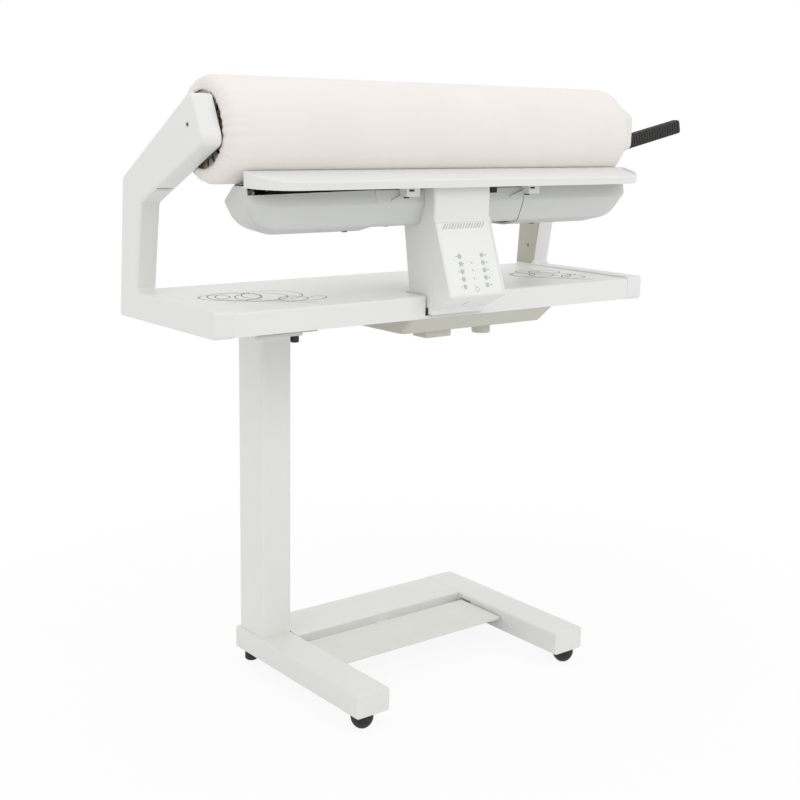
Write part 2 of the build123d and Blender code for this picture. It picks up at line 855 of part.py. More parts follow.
with BuildPart() as panel_housing:
    extrude(straight(Plane.YZ.offset(head_x - cover_half), wedge), amount=column_cover_width)
    fillet(panel_housing.edges().filter_by(Axis.X).sort_by(Axis.Y)[0], 5)
    extrude(wedge_inside(), amount=column_cover_width - 2 * panel_wall, mode=Mode.SUBTRACT)
    with BuildSketch(panel_plane.offset(-panel_wall - 1)):
        with Locations((0, panel_middle)):
            Rectangle(2 * panel_half - 6, panel_high - panel_low - 6)
    extrude(amount=panel_wall + 4, mode=Mode.SUBTRACT)
    with BuildSketch(panel_plane.offset(-panel_sheet - 0.8)):
        with Locations((0, panel_middle)):
            Rectangle(2 * panel_half + seat_gap, panel_high - panel_low + seat_gap)
    extrude(amount=panel_sheet + 4, mode=Mode.SUBTRACT)
    slab(
        (head_x - 6, head_x - 3.5),
        (panel_foot[0] + 18, column_front - 8),
        (chin[1] - 5, panel_foot[1] + 3),
        mode=Mode.SUBTRACT,
    )
panel_housing.part.label = "panel_housing"
export_step(panel_housing.part, "parts/panel_housing.step")

# Five keys in each of two rows on the panel.
key_rows = (-24.0, 26.0)
key_low = 19.0
key_places = [(x, key_low + key_pitch * step) for x in key_rows for step in range(5)]
panel_face = -0.8
with BuildPart() as control_panel:
    with BuildSketch(panel_plane.offset(panel_face)):
        with Locations((0, panel_middle)):
            Rectangle(2 * panel_half, panel_high - panel_low)
    extrude(amount=-panel_sheet)
    with BuildSketch(panel_plane.offset(panel_face)):
        with Locations(*key_places):
            Circle(key_radius + 0.2)
    extrude(amount=-panel_sheet, mode=Mode.SUBTRACT)
control_panel.part.label = "control_panel"
export_step(control_panel.part, "parts/control_panel.step")

for number, place in enumerate(key_places):
    with BuildPart() as key:
        with BuildSketch(panel_plane.offset(panel_face - panel_sheet - 0.1)):
            with Locations(place):
                Circle(key_radius + 1)
        extrude(amount=-1.2)
        with BuildSketch(panel_plane.offset(panel_face - panel_sheet - 0.2)):
            with Locations(place):
                Circle(key_radius)
        extrude(amount=panel_sheet + 1.4)
        fillet(key.edges().sort_by(Axis(panel_plane.origin, panel_plane.z_dir))[-1], 0.5)
    key_name = f"key_{number + 1}"
    key.part.label = key_name
    export_step(key.part, f"parts/{key_name}.step")

# Swing arm: boss, lever under the table, upright inside the column, beam behind the shoe.
upright_y = (-134.0, -104.0)
lever_top = table_height - 25
arm_half = 20.0
shoe_outer = roller_radius + shoe_clearance + shoe_thickness
shoe_x = (casing_left + shoe_inset_left, arm_right - shoe_inset_right)
front_rib_y = roller_y - 40
rear_rib_y = roller_y
rib_half = 7.0
front_rib_z = nip_z - 16
rear_rib_z = nip_z - 24
side_cover_straight = (
    (casing_left + shoe_cover_left + cover_end_length, head_x - centre_cover_half),
    (arm_right - shoe_cover_right - cover_end_length, head_x + centre_cover_half),
)
post_inset = 44.0
post_places = [shoe_x[0] + post_inset, head_x - 120, head_x + 120, shoe_x[1] - post_inset]
tab_places = [(end_x + centre_x) / 2 for end_x, centre_x in side_cover_straight]
beam_inset = 22.0
cover_floor = nip_z - 79
centre_floor = nip_z - 73
with BuildPart() as swing_arm:
    side = straight(
        Plane.YZ.offset(head_x - arm_half),
        [
            (upright_y[0], beam_z[1]),
            (upright_y[0], lever_top + 2),
            (upright_y[1] - 4, table_bottom + 1),
            (swing_y, swing_z - 12),
            (swing_y, swing_z + 12),
            (upright_y[1], lever_top),
            (upright_y[1], beam_z[0]),
            (beam_y[1], beam_z[0]),
            (beam_y[1], beam_z[1]),
        ],
    )
    extrude(side, amount=2 * arm_half)
    bar_x((bearing_plates[0][1] + 2, bearing_plates[1][0] - 2), swing_y, swing_z, 12)
    slab((shoe_x[0] + beam_inset, shoe_x[1] - beam_inset), beam_y, beam_z)
    follower_side = straight(
        Plane.YZ.offset(cam_x[0]),
        [
            (swing_y, swing_z - 8),
            (swing_y, swing_z + 8),
            (follower_y, cam_z - cam_radius),
            (follower_y, cam_z - cam_radius - 2 * follower_radius),
        ],
    )
    extrude(follower_side, amount=cam_thickness)
    bar_x(cam_x, follower_y, cam_z - cam_radius - follower_radius, follower_radius)
    for x in post_places:
        slab((x - 10, x + 10), (front_rib_y - rib_half, front_rib_y + rib_half), (beam_z[1], front_rib_z))
    for x in tab_places:
        slab(
            (x - 12, x + 12),
            (roller_y - 32, beam_y[1]),
            (cover_floor + cover_wall + seat_gap, beam_z[0]),
        )
    slab(
        (head_x - 10, head_x + 10),
        (column_front + cover_wall + seat_gap, upright_y[0]),
        (table_height + 10, table_height + 26),
    )
    bar_x(
        (bearing_plates[0][1], bearing_plates[1][0]),
        swing_y,
        swing_z,
        swing_shaft_radius + running / 2,
        mode=Mode.SUBTRACT,
    )
swing_arm.part.label = "swing_arm"
export_step(swing_arm.part, "parts/swing_arm.step")


def ring_point(radius, angle):
    """A point on a circle about the roller axis, the angle counted down from the front."""
    turn = math.radians(angle)
    return (roller_y - radius * math.cos(turn), roller_z - radius * math.sin(turn))


# Heated shoe: a trough round the front and bottom of the roller, of cast bars laid side by side.
# Two of the bars carry a rib with the bores for the heating rods.
shoe_joints = (55.5, 68.0, 76.0, 83.0, 97.0)
shoe_joint_width = 0.04
shoe_inner = roller_radius + shoe_clearance
shoe_middle_angle = (shoe_front_angle + shoe_rear_angle) / 2
rib_x = (shoe_x[0] + 32, shoe_x[1] - 32)
rod_front = (front_rib_y, nip_z - 7.5)
rod_rear = (rear_rib_y, nip_z - 16)
with BuildPart() as heated_shoe:
    with BuildSketch(Plane.YZ.offset(shoe_x[0])):
        with BuildLine():
            ThreePointArc(
                ring_point(shoe_inner, shoe_front_angle),
                ring_point(shoe_inner, shoe_middle_angle),
                ring_point(shoe_inner, shoe_rear_angle),
            )
            Line(ring_point(shoe_inner, shoe_rear_angle), ring_point(shoe_outer, shoe_rear_angle))
            ThreePointArc(
                ring_point(shoe_outer, shoe_rear_angle),
                ring_point(shoe_outer, shoe_middle_angle),
                ring_point(shoe_outer, shoe_front_angle),
            )
            Line(ring_point(shoe_outer, shoe_front_angle), ring_point(shoe_inner, shoe_front_angle))
        make_face()
    extrude(amount=shoe_x[1] - shoe_x[0])
    for rib_y, rib_z in ((front_rib_y, front_rib_z), (rear_rib_y, rear_rib_z)):
        slab(rib_x, (rib_y - rib_half, rib_y + rib_half), (rib_z, roller_z - shoe_inner * 0.85))
    bar_x((rib_x[0] - 1, rib_x[1] + 1), roller_y, roller_z, shoe_inner + 1, mode=Mode.SUBTRACT)
    for place in (rod_front, rod_rear):
        bar_x((rib_x[0] - 1, rib_x[1] + 1), place[0], place[1], rod_radius + 0.05, mode=Mode.SUBTRACT)
    for angle in shoe_joints:
        with Locations(Location((0, roller_y, roller_z), (angle, 0, 0))):
            Box(
                2 * head_width,
                2 * (shoe_outer + 20),
                shoe_joint_width,
                align=(Align.CENTER, Align.CENTER, Align.CENTER),
                mode=Mode.SUBTRACT,
            )
heated_shoe.part.label = "heated_shoe"
export_step(heated_shoe.part, "parts/heated_shoe.step")

with BuildPart() as heating_element:
    for place in (rod_front, rod_rear):
        bar_x((rib_x[0] - 4, rib_x[1] + 4), place[0], place[1], rod_radius)
heating_element.part.label = "heating_element"
export_step(heating_element.part, "parts/heating_element.step")

# Shoe covers: one section runs the whole width and rises to a rounded end at each side.
section_middle = roller_y - 10.6
section_rim = nip_z - 23
rim_front = (-79.6, 8.0)
bulge_front = (-83.6, -9.0)


def cover_section(x, depth, breadth, wall, floor_rise=0.0, slant=0.0, front_rise=0.0):
    """Section of the covers at x, its belly scaled in depth and breadth, moved in by wall."""
    half = 73.0
    turn = math.atan(slant)
    section_plane = Plane(
        origin=(x, section_middle, 0),
        x_dir=(math.sin(turn), math.cos(turn), 0),
        z_dir=(math.cos(turn), -math.sin(turn), 0),
    )
    shape = [
        (rim_front[0], rim_front[1] + front_rise),
        bulge_front,
        (-68.6, -47.0),
        (-34.6, -56.0 + floor_rise),
        (40.4, -56.0 + floor_rise),
        (57.4, -36.0),
        (62.4, 21.0),
    ]
    points = []
    for index, (y, z) in enumerate(shape):
        new_y = roller_y + y
        new_y = section_middle + (new_y - section_middle) * breadth * (half - wall) / half
        if z < 0:
            new_z = section_rim + (z * depth) * (1 - wall / (56.0 * depth + 0.01))
        else:
            new_z = section_rim + z + 12 * wall / cover_wall
        points.append(((new_y - section_middle) / math.cos(turn), new_z))
    return rounded(section_plane, points, [2, 6, 10, 10 * depth, 10 * depth, 8, 2])


def cover_end(end_x, inner_x, wall):
    """The rounded end of a side cover, from its tip to the full section."""
    towards = 1 if inner_x > end_x else -1
    slant = towards * cover_end_slant
    with BuildPart() as shape:
        sections = []
        for reach in (0.035, 0.12, 0.3, 0.6, 1.0):
            depth = math.sqrt(1 - (1 - reach) ** 2)
            breadth = 0.86 + 0.14 * depth
            x = end_x + towards * (cover_end_length * reach + wall)
            sections.append(cover_section(x, depth, breadth, wall, slant=slant))
        loft(sections)
        last = end_x + towards * (cover_end_length + wall)
        straight_section = cover_section(last, 1.0, 1.0, wall, slant=slant)
        distance = abs(inner_x - last) + wall + 50
        extrude(straight_section, amount=distance, dir=(towards, 0, 0))
        if wall == 0:
            slab(
                (min(inner_x, inner_x + towards * 100), max(inner_x, inner_x + towards * 100)),
                (-400, 400),
                (0, roller_z),
                mode=Mode.SUBTRACT,
            )
    return shape.part


def side_cover(end_x, inner_x):
    """A hollow cover, open on top, with room for the shoe over it."""
    towards = 1 if inner_x > end_x else -1
    with BuildPart() as cover:
        add(cover_end(end_x, inner_x, 0.0))
        add(cover_end(end_x, inner_x, cover_wall), mode=Mode.SUBTRACT)
        bar_x(
            (min(end_x, inner_x) - 5, max(end_x, inner_x) + 5),
            roller_y,
            roller_z,
            shoe_outer + seat_gap,
            mode=Mode.SUBTRACT,
        )
        prow = straight(
            Plane.XZ.offset(200),
            [
                (end_x - towards, section_rim),
                (end_x + towards * 26, section_rim + 26),
                (end_x - towards, section_rim + 26),
            ],
        )
        extrude(prow, amount=400, dir=(0, 1, 0), mode=Mode.SUBTRACT)
    return cover


cover_end_left = casing_left + shoe_cover_left
cover_end_right = arm_right - shoe_cover_right
centre_rise = 6.0
centre_left = head_x - centre_cover_half
centre_right = head_x + centre_cover_half
left_shoe_cover = side_cover(cover_end_left, centre_left)
left_shoe_cover.part.label = "left_shoe_cover"
export_step(left_shoe_cover.part, "parts/left_shoe_cover.step")

right_shoe_cover = side_cover(cover_end_right, centre_right)
right_shoe_cover.part.label = "right_shoe_cover"
export_step(right_shoe_cover.part, "parts/right_shoe_cover.step")

with BuildPart() as centre_shoe_cover:
    extrude(cover_section(centre_left, 1.0, 1.0, 0.0, 6.0, front_rise=centre_rise), amount=2 * centre_cover_half, dir=(1, 0, 0))
    extrude(
        cover_section(centre_left - 1, 1.0, 1.0, cover_wall, 6.0, front_rise=centre_rise + 2),
        amount=2 * centre_cover_half + 2,
        dir=(1, 0, 0),
        mode=Mode.SUBTRACT,
    )
    bar_x(
        (centre_left - 1, centre_right + 1), roller_y, roller_z, shoe_outer + seat_gap, mode=Mode.SUBTRACT
    )
    slab(
        (head_x - cover_half - seat_gap, head_x + cover_half + seat_gap),
        (column_front, column_back_high + seat_gap),
        (cover_floor - 10, nip_z + 40),
        mode=Mode.SUBTRACT,
    )
    slab(
        (head_x + cover_half + 13, head_x + cover_half + 28),
        (roller_y - 95, roller_y - 70),
        (section_rim + 5, nip_z + 5),
        mode=Mode.SUBTRACT,
    )
centre_shoe_cover.part.label = "centre_shoe_cover"
export_step(centre_shoe_cover.part, "parts/centre_shoe_cover.step")

# Feed board: a shallow pressed shelf that leads the laundry to the roller.
board_x = (casing_left + board_left, arm_right - board_right)
board_gap = 1.3
board_rear = roller_y - (roller_radius + board_gap) * math.cos(math.radians(45))
board_rear_z = roller_z - (roller_radius + board_gap) * math.sin(math.radians(45))
board_front = roller_y - roller_radius - board_reach
board_rise = 15.0
board_front_z = board_rear_z - board_rise
board_sheet = 2.5
board_slope = math.atan2(board_rise, board_rear - board_front)
board_plane = Plane(
    origin=(0, board_rear, board_rear_z),
    x_dir=(1, 0, 0),
    z_dir=(0, -math.sin(board_slope), math.cos(board_slope)),
)
board_depth = (board_rear - board_front) / math.cos(board_slope)
recess_x = board_x[1] - recess_start


def board_outline(plane, grow, right_rear=6.0):
    """Plan of the board: square at the rear, well rounded at the front corners."""
    return rounded(
        plane,
        [
            (board_x[0] - grow, 0 + grow),
            (board_x[1] + grow, 0 + grow),
            (board_x[1] + grow, -board_depth - grow),
            (board_x[0] - grow, -board_depth - grow),
        ],
        [2, 2 + right_rear, board_corner + grow, board_corner + grow],
    )


with BuildPart() as feed_board:
    extrude(board_outline(board_plane, 0.0), amount=-board_skirt_rear)
    fillet(feed_board.faces().sort_by(Axis(board_plane.origin, board_plane.z_dir))[-1].edges(), 2)
    with BuildPart(mode=Mode.SUBTRACT):
        extrude(
            board_outline(board_plane.offset(-board_skirt_rear - 1), -board_sheet),
            amount=board_skirt_rear + 1 - board_sheet,
        )
        slab(
            (recess_x - board_sheet, board_x[1] + 1),
            (board_front - 5, board_rear + 5),
            (board_rear_z - board_rise - board_skirt, board_rear_z + 1),
            mode=Mode.SUBTRACT,
        )
    lower = straight(
        Plane.YZ.offset(board_x[0] - 1),
        [
            (board_front - 5, board_front_z - board_skirt),
            (board_rear + 15, board_rear_z - board_skirt_rear),
            (board_rear + 15, board_rear_z - 60),
            (board_front - 5, board_rear_z - 60),
        ],
    )
    extrude(lower, amount=board_x[1] - board_x[0] + 2, mode=Mode.SUBTRACT)
    with BuildPart(mode=Mode.SUBTRACT):
        extrude(board_outline(board_plane.offset(1), -recess_rim), amount=-recess_depth - 1)
        slab(
            (board_x[0] - 1, recess_x),
            (board_front - 5, board_rear + 5),
            (board_rear_z - 60, board_rear_z + 5),
            mode=Mode.SUBTRACT,
        )
    slab(
        (board_x[0] - 1, board_x[1] + 1),
        (board_rear - board_sheet - 1, board_rear + 15),
        (board_rear_z - 30, board_rear_z - board_sheet - 0.5),
        mode=Mode.SUBTRACT,
    )
feed_board.part.label = "feed_board"
export_step(feed_board.part, "parts/feed_board.step")


def board_underside(y):
    """Height of the inside of the board's top at a given y."""
    return board_rear_z - (board_rear - y) * math.tan(board_slope) - board_sheet / math.cos(board_slope)


# The brackets lie against the front of the centre cover and reach up into the board.
bracket_low = section_rim + 3
bracket_front = board_front + bracket_setback
centre_rim = rim_front[1] + centre_rise
cover_lean = (rim_front[0] - bulge_front[0]) / (centre_rim - bulge_front[1])
bracket_rear_low = roller_y + bulge_front[0] + cover_lean * (bracket_low - section_rim - bulge_front[1])
bracket_rear_high = roller_y + rim_front[0] - seat_gap
with BuildPart() as feed_board_brackets:
    for x in ((head_x - 115, head_x - 87), (head_x + 163, head_x + 189)):
        foot = straight(
            Plane.YZ.offset(x[0]),
            [
                (bracket_front, bracket_low),
                (bracket_rear_low - seat_gap, bracket_low),
                (bracket_rear_high, section_rim + centre_rim),
                (bracket_rear_high, board_underside(bracket_rear_high)),
                (bracket_front, board_underside(bracket_front)),
            ],
        )
        extrude(foot, amount=x[1] - x[0])
feed_board_brackets.part.label = "feed_board_brackets"
export_step(feed_board_brackets.part, "parts/feed_board_brackets.step")

# ---------------------------------------------------------------- roller

roller_x = (casing_left + cloth_gap_left, arm_right - cloth_gap_right)
cloth_inner = roller_radius - cloth_thickness
cloth_end_radius = 20.0


def sleeve(x, outer, inner, opening, end_radius, wall):
    """A cloth or padding sleeve that wraps round both ends, as a revolved section."""
    with BuildPart() as tube:
        with BuildSketch(Plane.XY.offset(0)) as half:
            with BuildLine():
                FilletPolyline(
                    (x[0], opening),
                    (x[0], outer),
                    (x[1], outer),
                    (x[1], opening),
                    (x[1] - wall, opening),
                    (x[1] - wall, inner),
                    (x[0] + wall, inner),
                    (x[0] + wall, opening),
                    radius=[0, end_radius, end_radius, 0, 0, end_radius - wall, end_radius - wall, 0],
                    close=True,
                )
            make_face()
        revolve(axis=Axis.X)
    return tube.part.moved(Location((0, roller_y, roller_z)))


with BuildPart() as roller_cover:
    add(sleeve(roller_x, roller_radius, cloth_inner, cloth_opening, cloth_end_radius, cloth_thickness))
roller_cover.part.label = "roller_cover"
export_step(roller_cover.part, "parts/roller_cover.step")

padding_outer = cloth_inner - seat_gap
padding_end_radius = padding_thickness - 0.2
padding_inset = cloth_end_radius - padding_end_radius
padding_x = (roller_x[0] + padding_inset, roller_x[1] - padding_inset)
tube_inset = cloth_thickness + end_disc_thickness + 2.3
tube_x = (roller_x[0] + tube_inset, roller_x[1] - tube_inset)
with BuildPart() as roller_padding:
    bar_x(padding_x, roller_y, roller_z, padding_outer)
    fillet(roller_padding.edges().filter_by(GeomType.CIRCLE), padding_end_radius)
    bar_x(
        (padding_x[0] - 1, padding_x[1] + 1),
        roller_y,
        roller_z,
        tube_radius + seat_gap,
        mode=Mode.SUBTRACT,
    )
roller_padding.part.label = "roller_padding"
export_step(roller_padding.part, "parts/roller_padding.step")

with BuildPart() as roller_tube:
    bar_x(tube_x, roller_y, roller_z, tube_radius)
    bar_x(
        (tube_x[0] - 1, tube_x[1] + 1),
        roller_y,
        roller_z,
        tube_radius - roller_tube_wall,
        mode=Mode.SUBTRACT,
    )
roller_tube.part.label = "roller_tube"
export_step(roller_tube.part, "parts/roller_tube.step")

# Pressed end discs with a ring of slots and a hub on the shaft.
slot_ring = tube_radius - 18.0
slot_length = 13.0
slot_width = 6.0
slot_count = 18
hub_length = 18.0
with BuildPart() as roller_end_discs:
    for face_x, inward in ((tube_x[0], 1), (tube_x[1], -1)):
        disc_face = Plane(origin=(face_x, roller_y, roller_z), x_dir=(0, 1, 0), z_dir=(inward, 0, 0))
        with BuildSketch(disc_face):
            Circle(tube_radius)
            with PolarLocations(slot_ring, slot_count):
                SlotOverall(slot_length, slot_width, mode=Mode.SUBTRACT)
        extrude(amount=-end_disc_thickness)
        with BuildSketch(disc_face.offset(-end_disc_thickness)):
            Circle(shaft_radius + 8)
        extrude(amount=hub_length)
        with BuildSketch(disc_face.offset(-end_disc_thickness - 1)):
            Circle(shaft_radius)
        extrude(amount=hub_length + 2, mode=Mode.SUBTRACT)
roller_end_discs.part.label = "roller_end_discs"
export_step(roller_end_discs.part, "parts/roller_end_discs.step")

gear_x = (left_plate_x - 1 - gear_width, left_plate_x - 1)
with BuildPart() as roller_shafts:
    bar_x((gear_x[0] - 0.3, tube_x[0] + hub_length), roller_y, roller_z, shaft_radius)
    bar_x(
        (tube_x[1] - hub_length, right_plate_x + side_plate_thickness + 1),
        roller_y,
        roller_z,
        shaft_radius,
    )
roller_shafts.part.label = "roller_shafts"
export_step(roller_shafts.part, "parts/roller_shafts.step")

# Spur gears between the drive motor and the roller, cut with a little backlash.
gear_pitch_radius = gear_module * gear_teeth / 2
pinion_pitch_radius = gear_module * pinion_teeth / 2
drive_distance = gear_pitch_radius + pinion_pitch_radius
drive_y = roller_y + drive_distance * math.cos(math.radians(drive_angle))
drive_z = roller_z + drive_distance * math.sin(math.radians(drive_angle))


def gear_face(x, centre_y, centre_z, teeth, phase):
    """Face of a spur gear whose first tooth points along the phase angle."""
    pitch_radius = gear_module * teeth / 2
    root = pitch_radius - 1.25 * gear_module
    tip = pitch_radius + 0.9 * gear_module
    pitch_half = 0.60 * gear_module
    with BuildSketch(Plane(origin=(x, centre_y, centre_z), x_dir=(0, 1, 0), z_dir=(1, 0, 0))) as flat:
        Circle(root)
        with PolarLocations(0, teeth, start_angle=phase):
            with BuildLine():
                Polyline(
                    (root - 1, -1.7 * pitch_half),
                    (pitch_radius, -pitch_half),
                    (tip, -0.55 * pitch_half),
                    (tip, 0.55 * pitch_half),
                    (pitch_radius, pitch_half),
                    (root - 1, 1.7 * pitch_half),
                    close=True,
                )
            make_face()
    return flat.sketch


with BuildPart() as roller_gear:
    gear_phase = drive_angle + 180.0 / gear_teeth
    extrude(gear_face(gear_x[0], roller_y, roller_z, gear_teeth, gear_phase), amount=gear_width)
    bar_x((gear_x[0] - 1, gear_x[1] + 1), roller_y, roller_z, shaft_radius, mode=Mode.SUBTRACT)
roller_gear.part.label = "roller_gear"
export_step(roller_gear.part, "parts/roller_gear.step")

motor_x = (gear_x[0] - 1 - drive_motor_length, gear_x[0] - 1)
pinion_shaft_radius = 3.0
with BuildPart() as drive_pinion:
    pinion_phase = drive_angle + 180.0
    extrude(gear_face(gear_x[0], drive_y, drive_z, pinion_teeth, pinion_phase), amount=gear_width)
    bar_x((motor_x[1] - 9, gear_x[1]), drive_y, drive_z, pinion_shaft_radius)
drive_pinion.part.label = "drive_pinion"
export_step(drive_pinion.part, "parts/drive_pinion.step")

with BuildPart() as drive_motor:
    bar_x(motor_x, drive_y, drive_z, drive_motor_radius)
    fillet(drive_motor.faces().sort_by(Axis.X)[0].edges(), 3)
    bar_x(
        (motor_x[1] - 10, motor_x[1] + 1),
        drive_y,
        drive_z,
        pinion_shaft_radius + running / 2,
        mode=Mode.SUBTRACT,
    )
    for turn in (-75.0, 0.0, 75.0):
        angle = math.radians(drive_angle + turn)
        bar_x(
            (motor_x[1], left_plate_x),
            drive_y + 24 * math.cos(angle),
            drive_z + 24 * math.sin(angle),
            3,
        )
drive_motor.part.label = "drive_motor"
export_step(drive_motor.part, "parts/drive_motor.step")

# ---------------------------------------------------------------- release lever

lever_x = head_right + lever_pin_out
lever_y = -50.0
lever_z = roller_z - 21
ear_gap = grip_width / 2 + 0.5
ear_sheet = 4.5
lever_pin_radius = 4.0
with BuildPart() as lever_bracket:
    slab(
        (head_right, head_right + 3),
        (lever_y - ear_gap - ear_sheet - 3, lever_y + ear_gap + ear_sheet + 3),
        (lever_z - 16, lever_z + 16),
    )
    fillet(lever_bracket.edges().filter_by(Axis.X), 4)
    for y in (lever_y - ear_gap - ear_sheet, lever_y + ear_gap):
        with BuildSketch(Plane.XZ.offset(-y - ear_sheet)):
            with Locations((head_right + lever_pin_out / 2 + 1.5, lever_z)):
                Rectangle(lever_pin_out - 3, 26)
            with Locations((lever_x, lever_z)):
                Circle(13)
        extrude(amount=ear_sheet)
    slab(
        (head_right - 20, head_right),
        (lever_y - 40, lever_y + 40),
        (lever_z - 30, lever_z + 30),
        mode=Mode.SUBTRACT,
    )
    bar_y(
        lever_x,
        (lever_y - ear_gap - ear_sheet, lever_y + ear_gap + ear_sheet),
        lever_z,
        lever_pin_radius,
    )
lever_bracket.part.label = "lever_bracket"
export_step(lever_bracket.part, "parts/lever_bracket.step")

tilt = math.radians(lever_tilt)
lever_length = (lever_reach - lever_pin_out - math.sin(tilt) * grip_height / 2) / math.cos(tilt)
lever_plane = Plane(
    origin=(lever_x, lever_y, lever_z),
    x_dir=(0, 1, 0),
    z_dir=(math.cos(tilt), 0, math.sin(tilt)),
)
grip_start = 15.0
core_width = 8.0
core_height = 12.0
lever_hub_radius = 6.5
with BuildPart() as release_lever:
    bar_y(lever_x, (lever_y - grip_width / 2, lever_y + grip_width / 2), lever_z, lever_hub_radius)
    with BuildSketch(lever_plane):
        Rectangle(core_width, core_height)
    extrude(amount=lever_length - 8)
    bar_y(
        lever_x,
        (lever_y - grip_width, lever_y + grip_width),
        lever_z,
        lever_pin_radius + running / 2,
        mode=Mode.SUBTRACT,
    )
release_lever.part.label = "release_lever"
export_step(release_lever.part, "parts/release_lever.step")

rib_pitch = (lever_length - grip_start) / grip_ribs
with BuildPart() as lever_grip:
    with BuildSketch(lever_plane.offset(grip_start)):
        RectangleRounded(grip_width - 1.6, grip_height - 1.6, 4)
    extrude(amount=lever_length - grip_start - 0.5)
    for step in range(grip_ribs):
        with BuildSketch(lever_plane.offset(grip_start + rib_pitch * step)):
            RectangleRounded(grip_width, grip_height, 5)
        extrude(amount=rib_pitch * 0.68)
    with BuildSketch(lever_plane.offset(grip_start - 1)):
        Rectangle(core_width, core_height)
    extrude(amount=lever_length - 8 - grip_start + 1, mode=Mode.SUBTRACT)
lever_grip.part.label = "lever_grip"
export_step(lever_grip.part, "parts/lever_grip.step")
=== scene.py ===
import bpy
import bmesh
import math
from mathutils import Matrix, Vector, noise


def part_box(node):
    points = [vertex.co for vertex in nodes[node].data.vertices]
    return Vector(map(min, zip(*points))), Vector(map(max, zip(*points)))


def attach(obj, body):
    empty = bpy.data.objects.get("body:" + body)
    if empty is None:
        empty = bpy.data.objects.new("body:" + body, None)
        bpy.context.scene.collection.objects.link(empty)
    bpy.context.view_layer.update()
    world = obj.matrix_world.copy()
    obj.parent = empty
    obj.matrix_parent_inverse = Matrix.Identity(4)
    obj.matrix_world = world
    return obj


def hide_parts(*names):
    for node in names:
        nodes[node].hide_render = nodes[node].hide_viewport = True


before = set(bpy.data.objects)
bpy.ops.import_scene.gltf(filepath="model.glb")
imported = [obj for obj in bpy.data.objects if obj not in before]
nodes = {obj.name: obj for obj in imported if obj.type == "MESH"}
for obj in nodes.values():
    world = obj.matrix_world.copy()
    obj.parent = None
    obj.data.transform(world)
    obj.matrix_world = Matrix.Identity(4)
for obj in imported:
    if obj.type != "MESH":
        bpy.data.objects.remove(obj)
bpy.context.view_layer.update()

# %% [markdown]
# # A domestic rotary ironer
# The machine's rigid pieces come in with the frame above, each at its real size and place. This
# lesson gives them their finishes, makes the soft roller cover and the small details that a plain
# solid model leaves out, and lights it all like a catalogue picture. Lengths are in metres, unless
# a name or a comment says that they are in millimetres.

scene = bpy.context.scene
MM = 0.001


def srgb(hex_code):
    """Linear colour of an sRGB hex value."""
    channels = [int(hex_code[i:i + 2], 16) / 255 for i in (1, 3, 5)]
    linear = [c / 12.92 if c <= 0.04045 else ((c + 0.055) / 1.055) ** 2.4 for c in channels]
    return (*linear, 1.0)


def add_node(tree, kind, settings=None, links=None):
    """Adds a shader node, sets its values and joins its inputs to other nodes' outputs."""
    node = tree.nodes.new(kind)
    for name, value in (settings or {}).items():
        if isinstance(name, int) or name in node.inputs:
            node.inputs[name].default_value = value
        else:
            setattr(node, name, value)
    for name, source in (links or {}).items():
        tree.links.new(source, node.inputs[name])
    return node


# %% [markdown]
# ## Camera
# The picture was taken from the front left, level with the roller and tipped a little down, from
# about two and a half metres away. A constraint could aim the camera at a point, but it leaves no
# room for the picture's small roll. A camera is an object that looks along its own -Z with its own
# Y up, so its matrix is built here from three directions: right, up and back.

# %% Camera
camera_place = Vector((-1.5667, -1.8519, 1.0295))
camera_yaw, camera_pitch, camera_roll = -0.6702, -0.211, 0.0187  # radians
focal_length, sensor_width = 58.62, 36.0  # millimetres
forward = Vector((
    -math.sin(camera_yaw) * math.cos(camera_pitch),
    math.cos(camera_yaw) * math.cos(camera_pitch),
    math.sin(camera_pitch),
))
level_right = forward.cross(Vector((0, 0, 1))).normalized()
level_up = level_right.cross(forward)
right = level_right * math.cos(camera_roll) + level_up * math.sin(camera_roll)
up = level_up * math.cos(camera_roll) - level_right * math.sin(camera_roll)
turn = Matrix((right, up, -forward)).transposed()

lens = bpy.data.cameras.new("camera")
lens.lens = focal_length
lens.sensor_width = sensor_width
camera = bpy.data.objects.new("camera", lens)
camera.matrix_world = Matrix.Translation(camera_place) @ turn.to_4x4()
scene.collection.objects.link(camera)
bpy.context.scene.camera = camera
print("camera at", [round(c, 3) for c in camera.location])

# %% [markdown]
# ## Light and floor
# Catalogue pictures of white machines are lit by large soft boxes, so that a white surface still
# shows its edges. The strongest lamp stands at the front right, one lies overhead, a smaller one
# stands at the left, and the pale world fills the rest. A brighter world would whiten the
# background too, but it would also wash out the machine. So only the camera, mirrors and glass see
# a white background: a shader can ask what kind of ray has met it.

# %% What the camera, mirrors and glass see
def seen_directly(tree):
    """Adds nodes that give 1 for rays from the camera, mirrors and glass, and else 0."""
    rays = add_node(tree, "ShaderNodeLightPath")
    seen = add_node(
        tree, "ShaderNodeMath", {"operation": "MAXIMUM"},
        {0: rays.outputs["Is Camera Ray"], 1: rays.outputs["Is Glossy Ray"]},
    )
    return add_node(
        tree, "ShaderNodeMath", {"operation": "MAXIMUM"},
        {0: seen.outputs[0], 1: rays.outputs["Is Transmission Ray"]},
    )


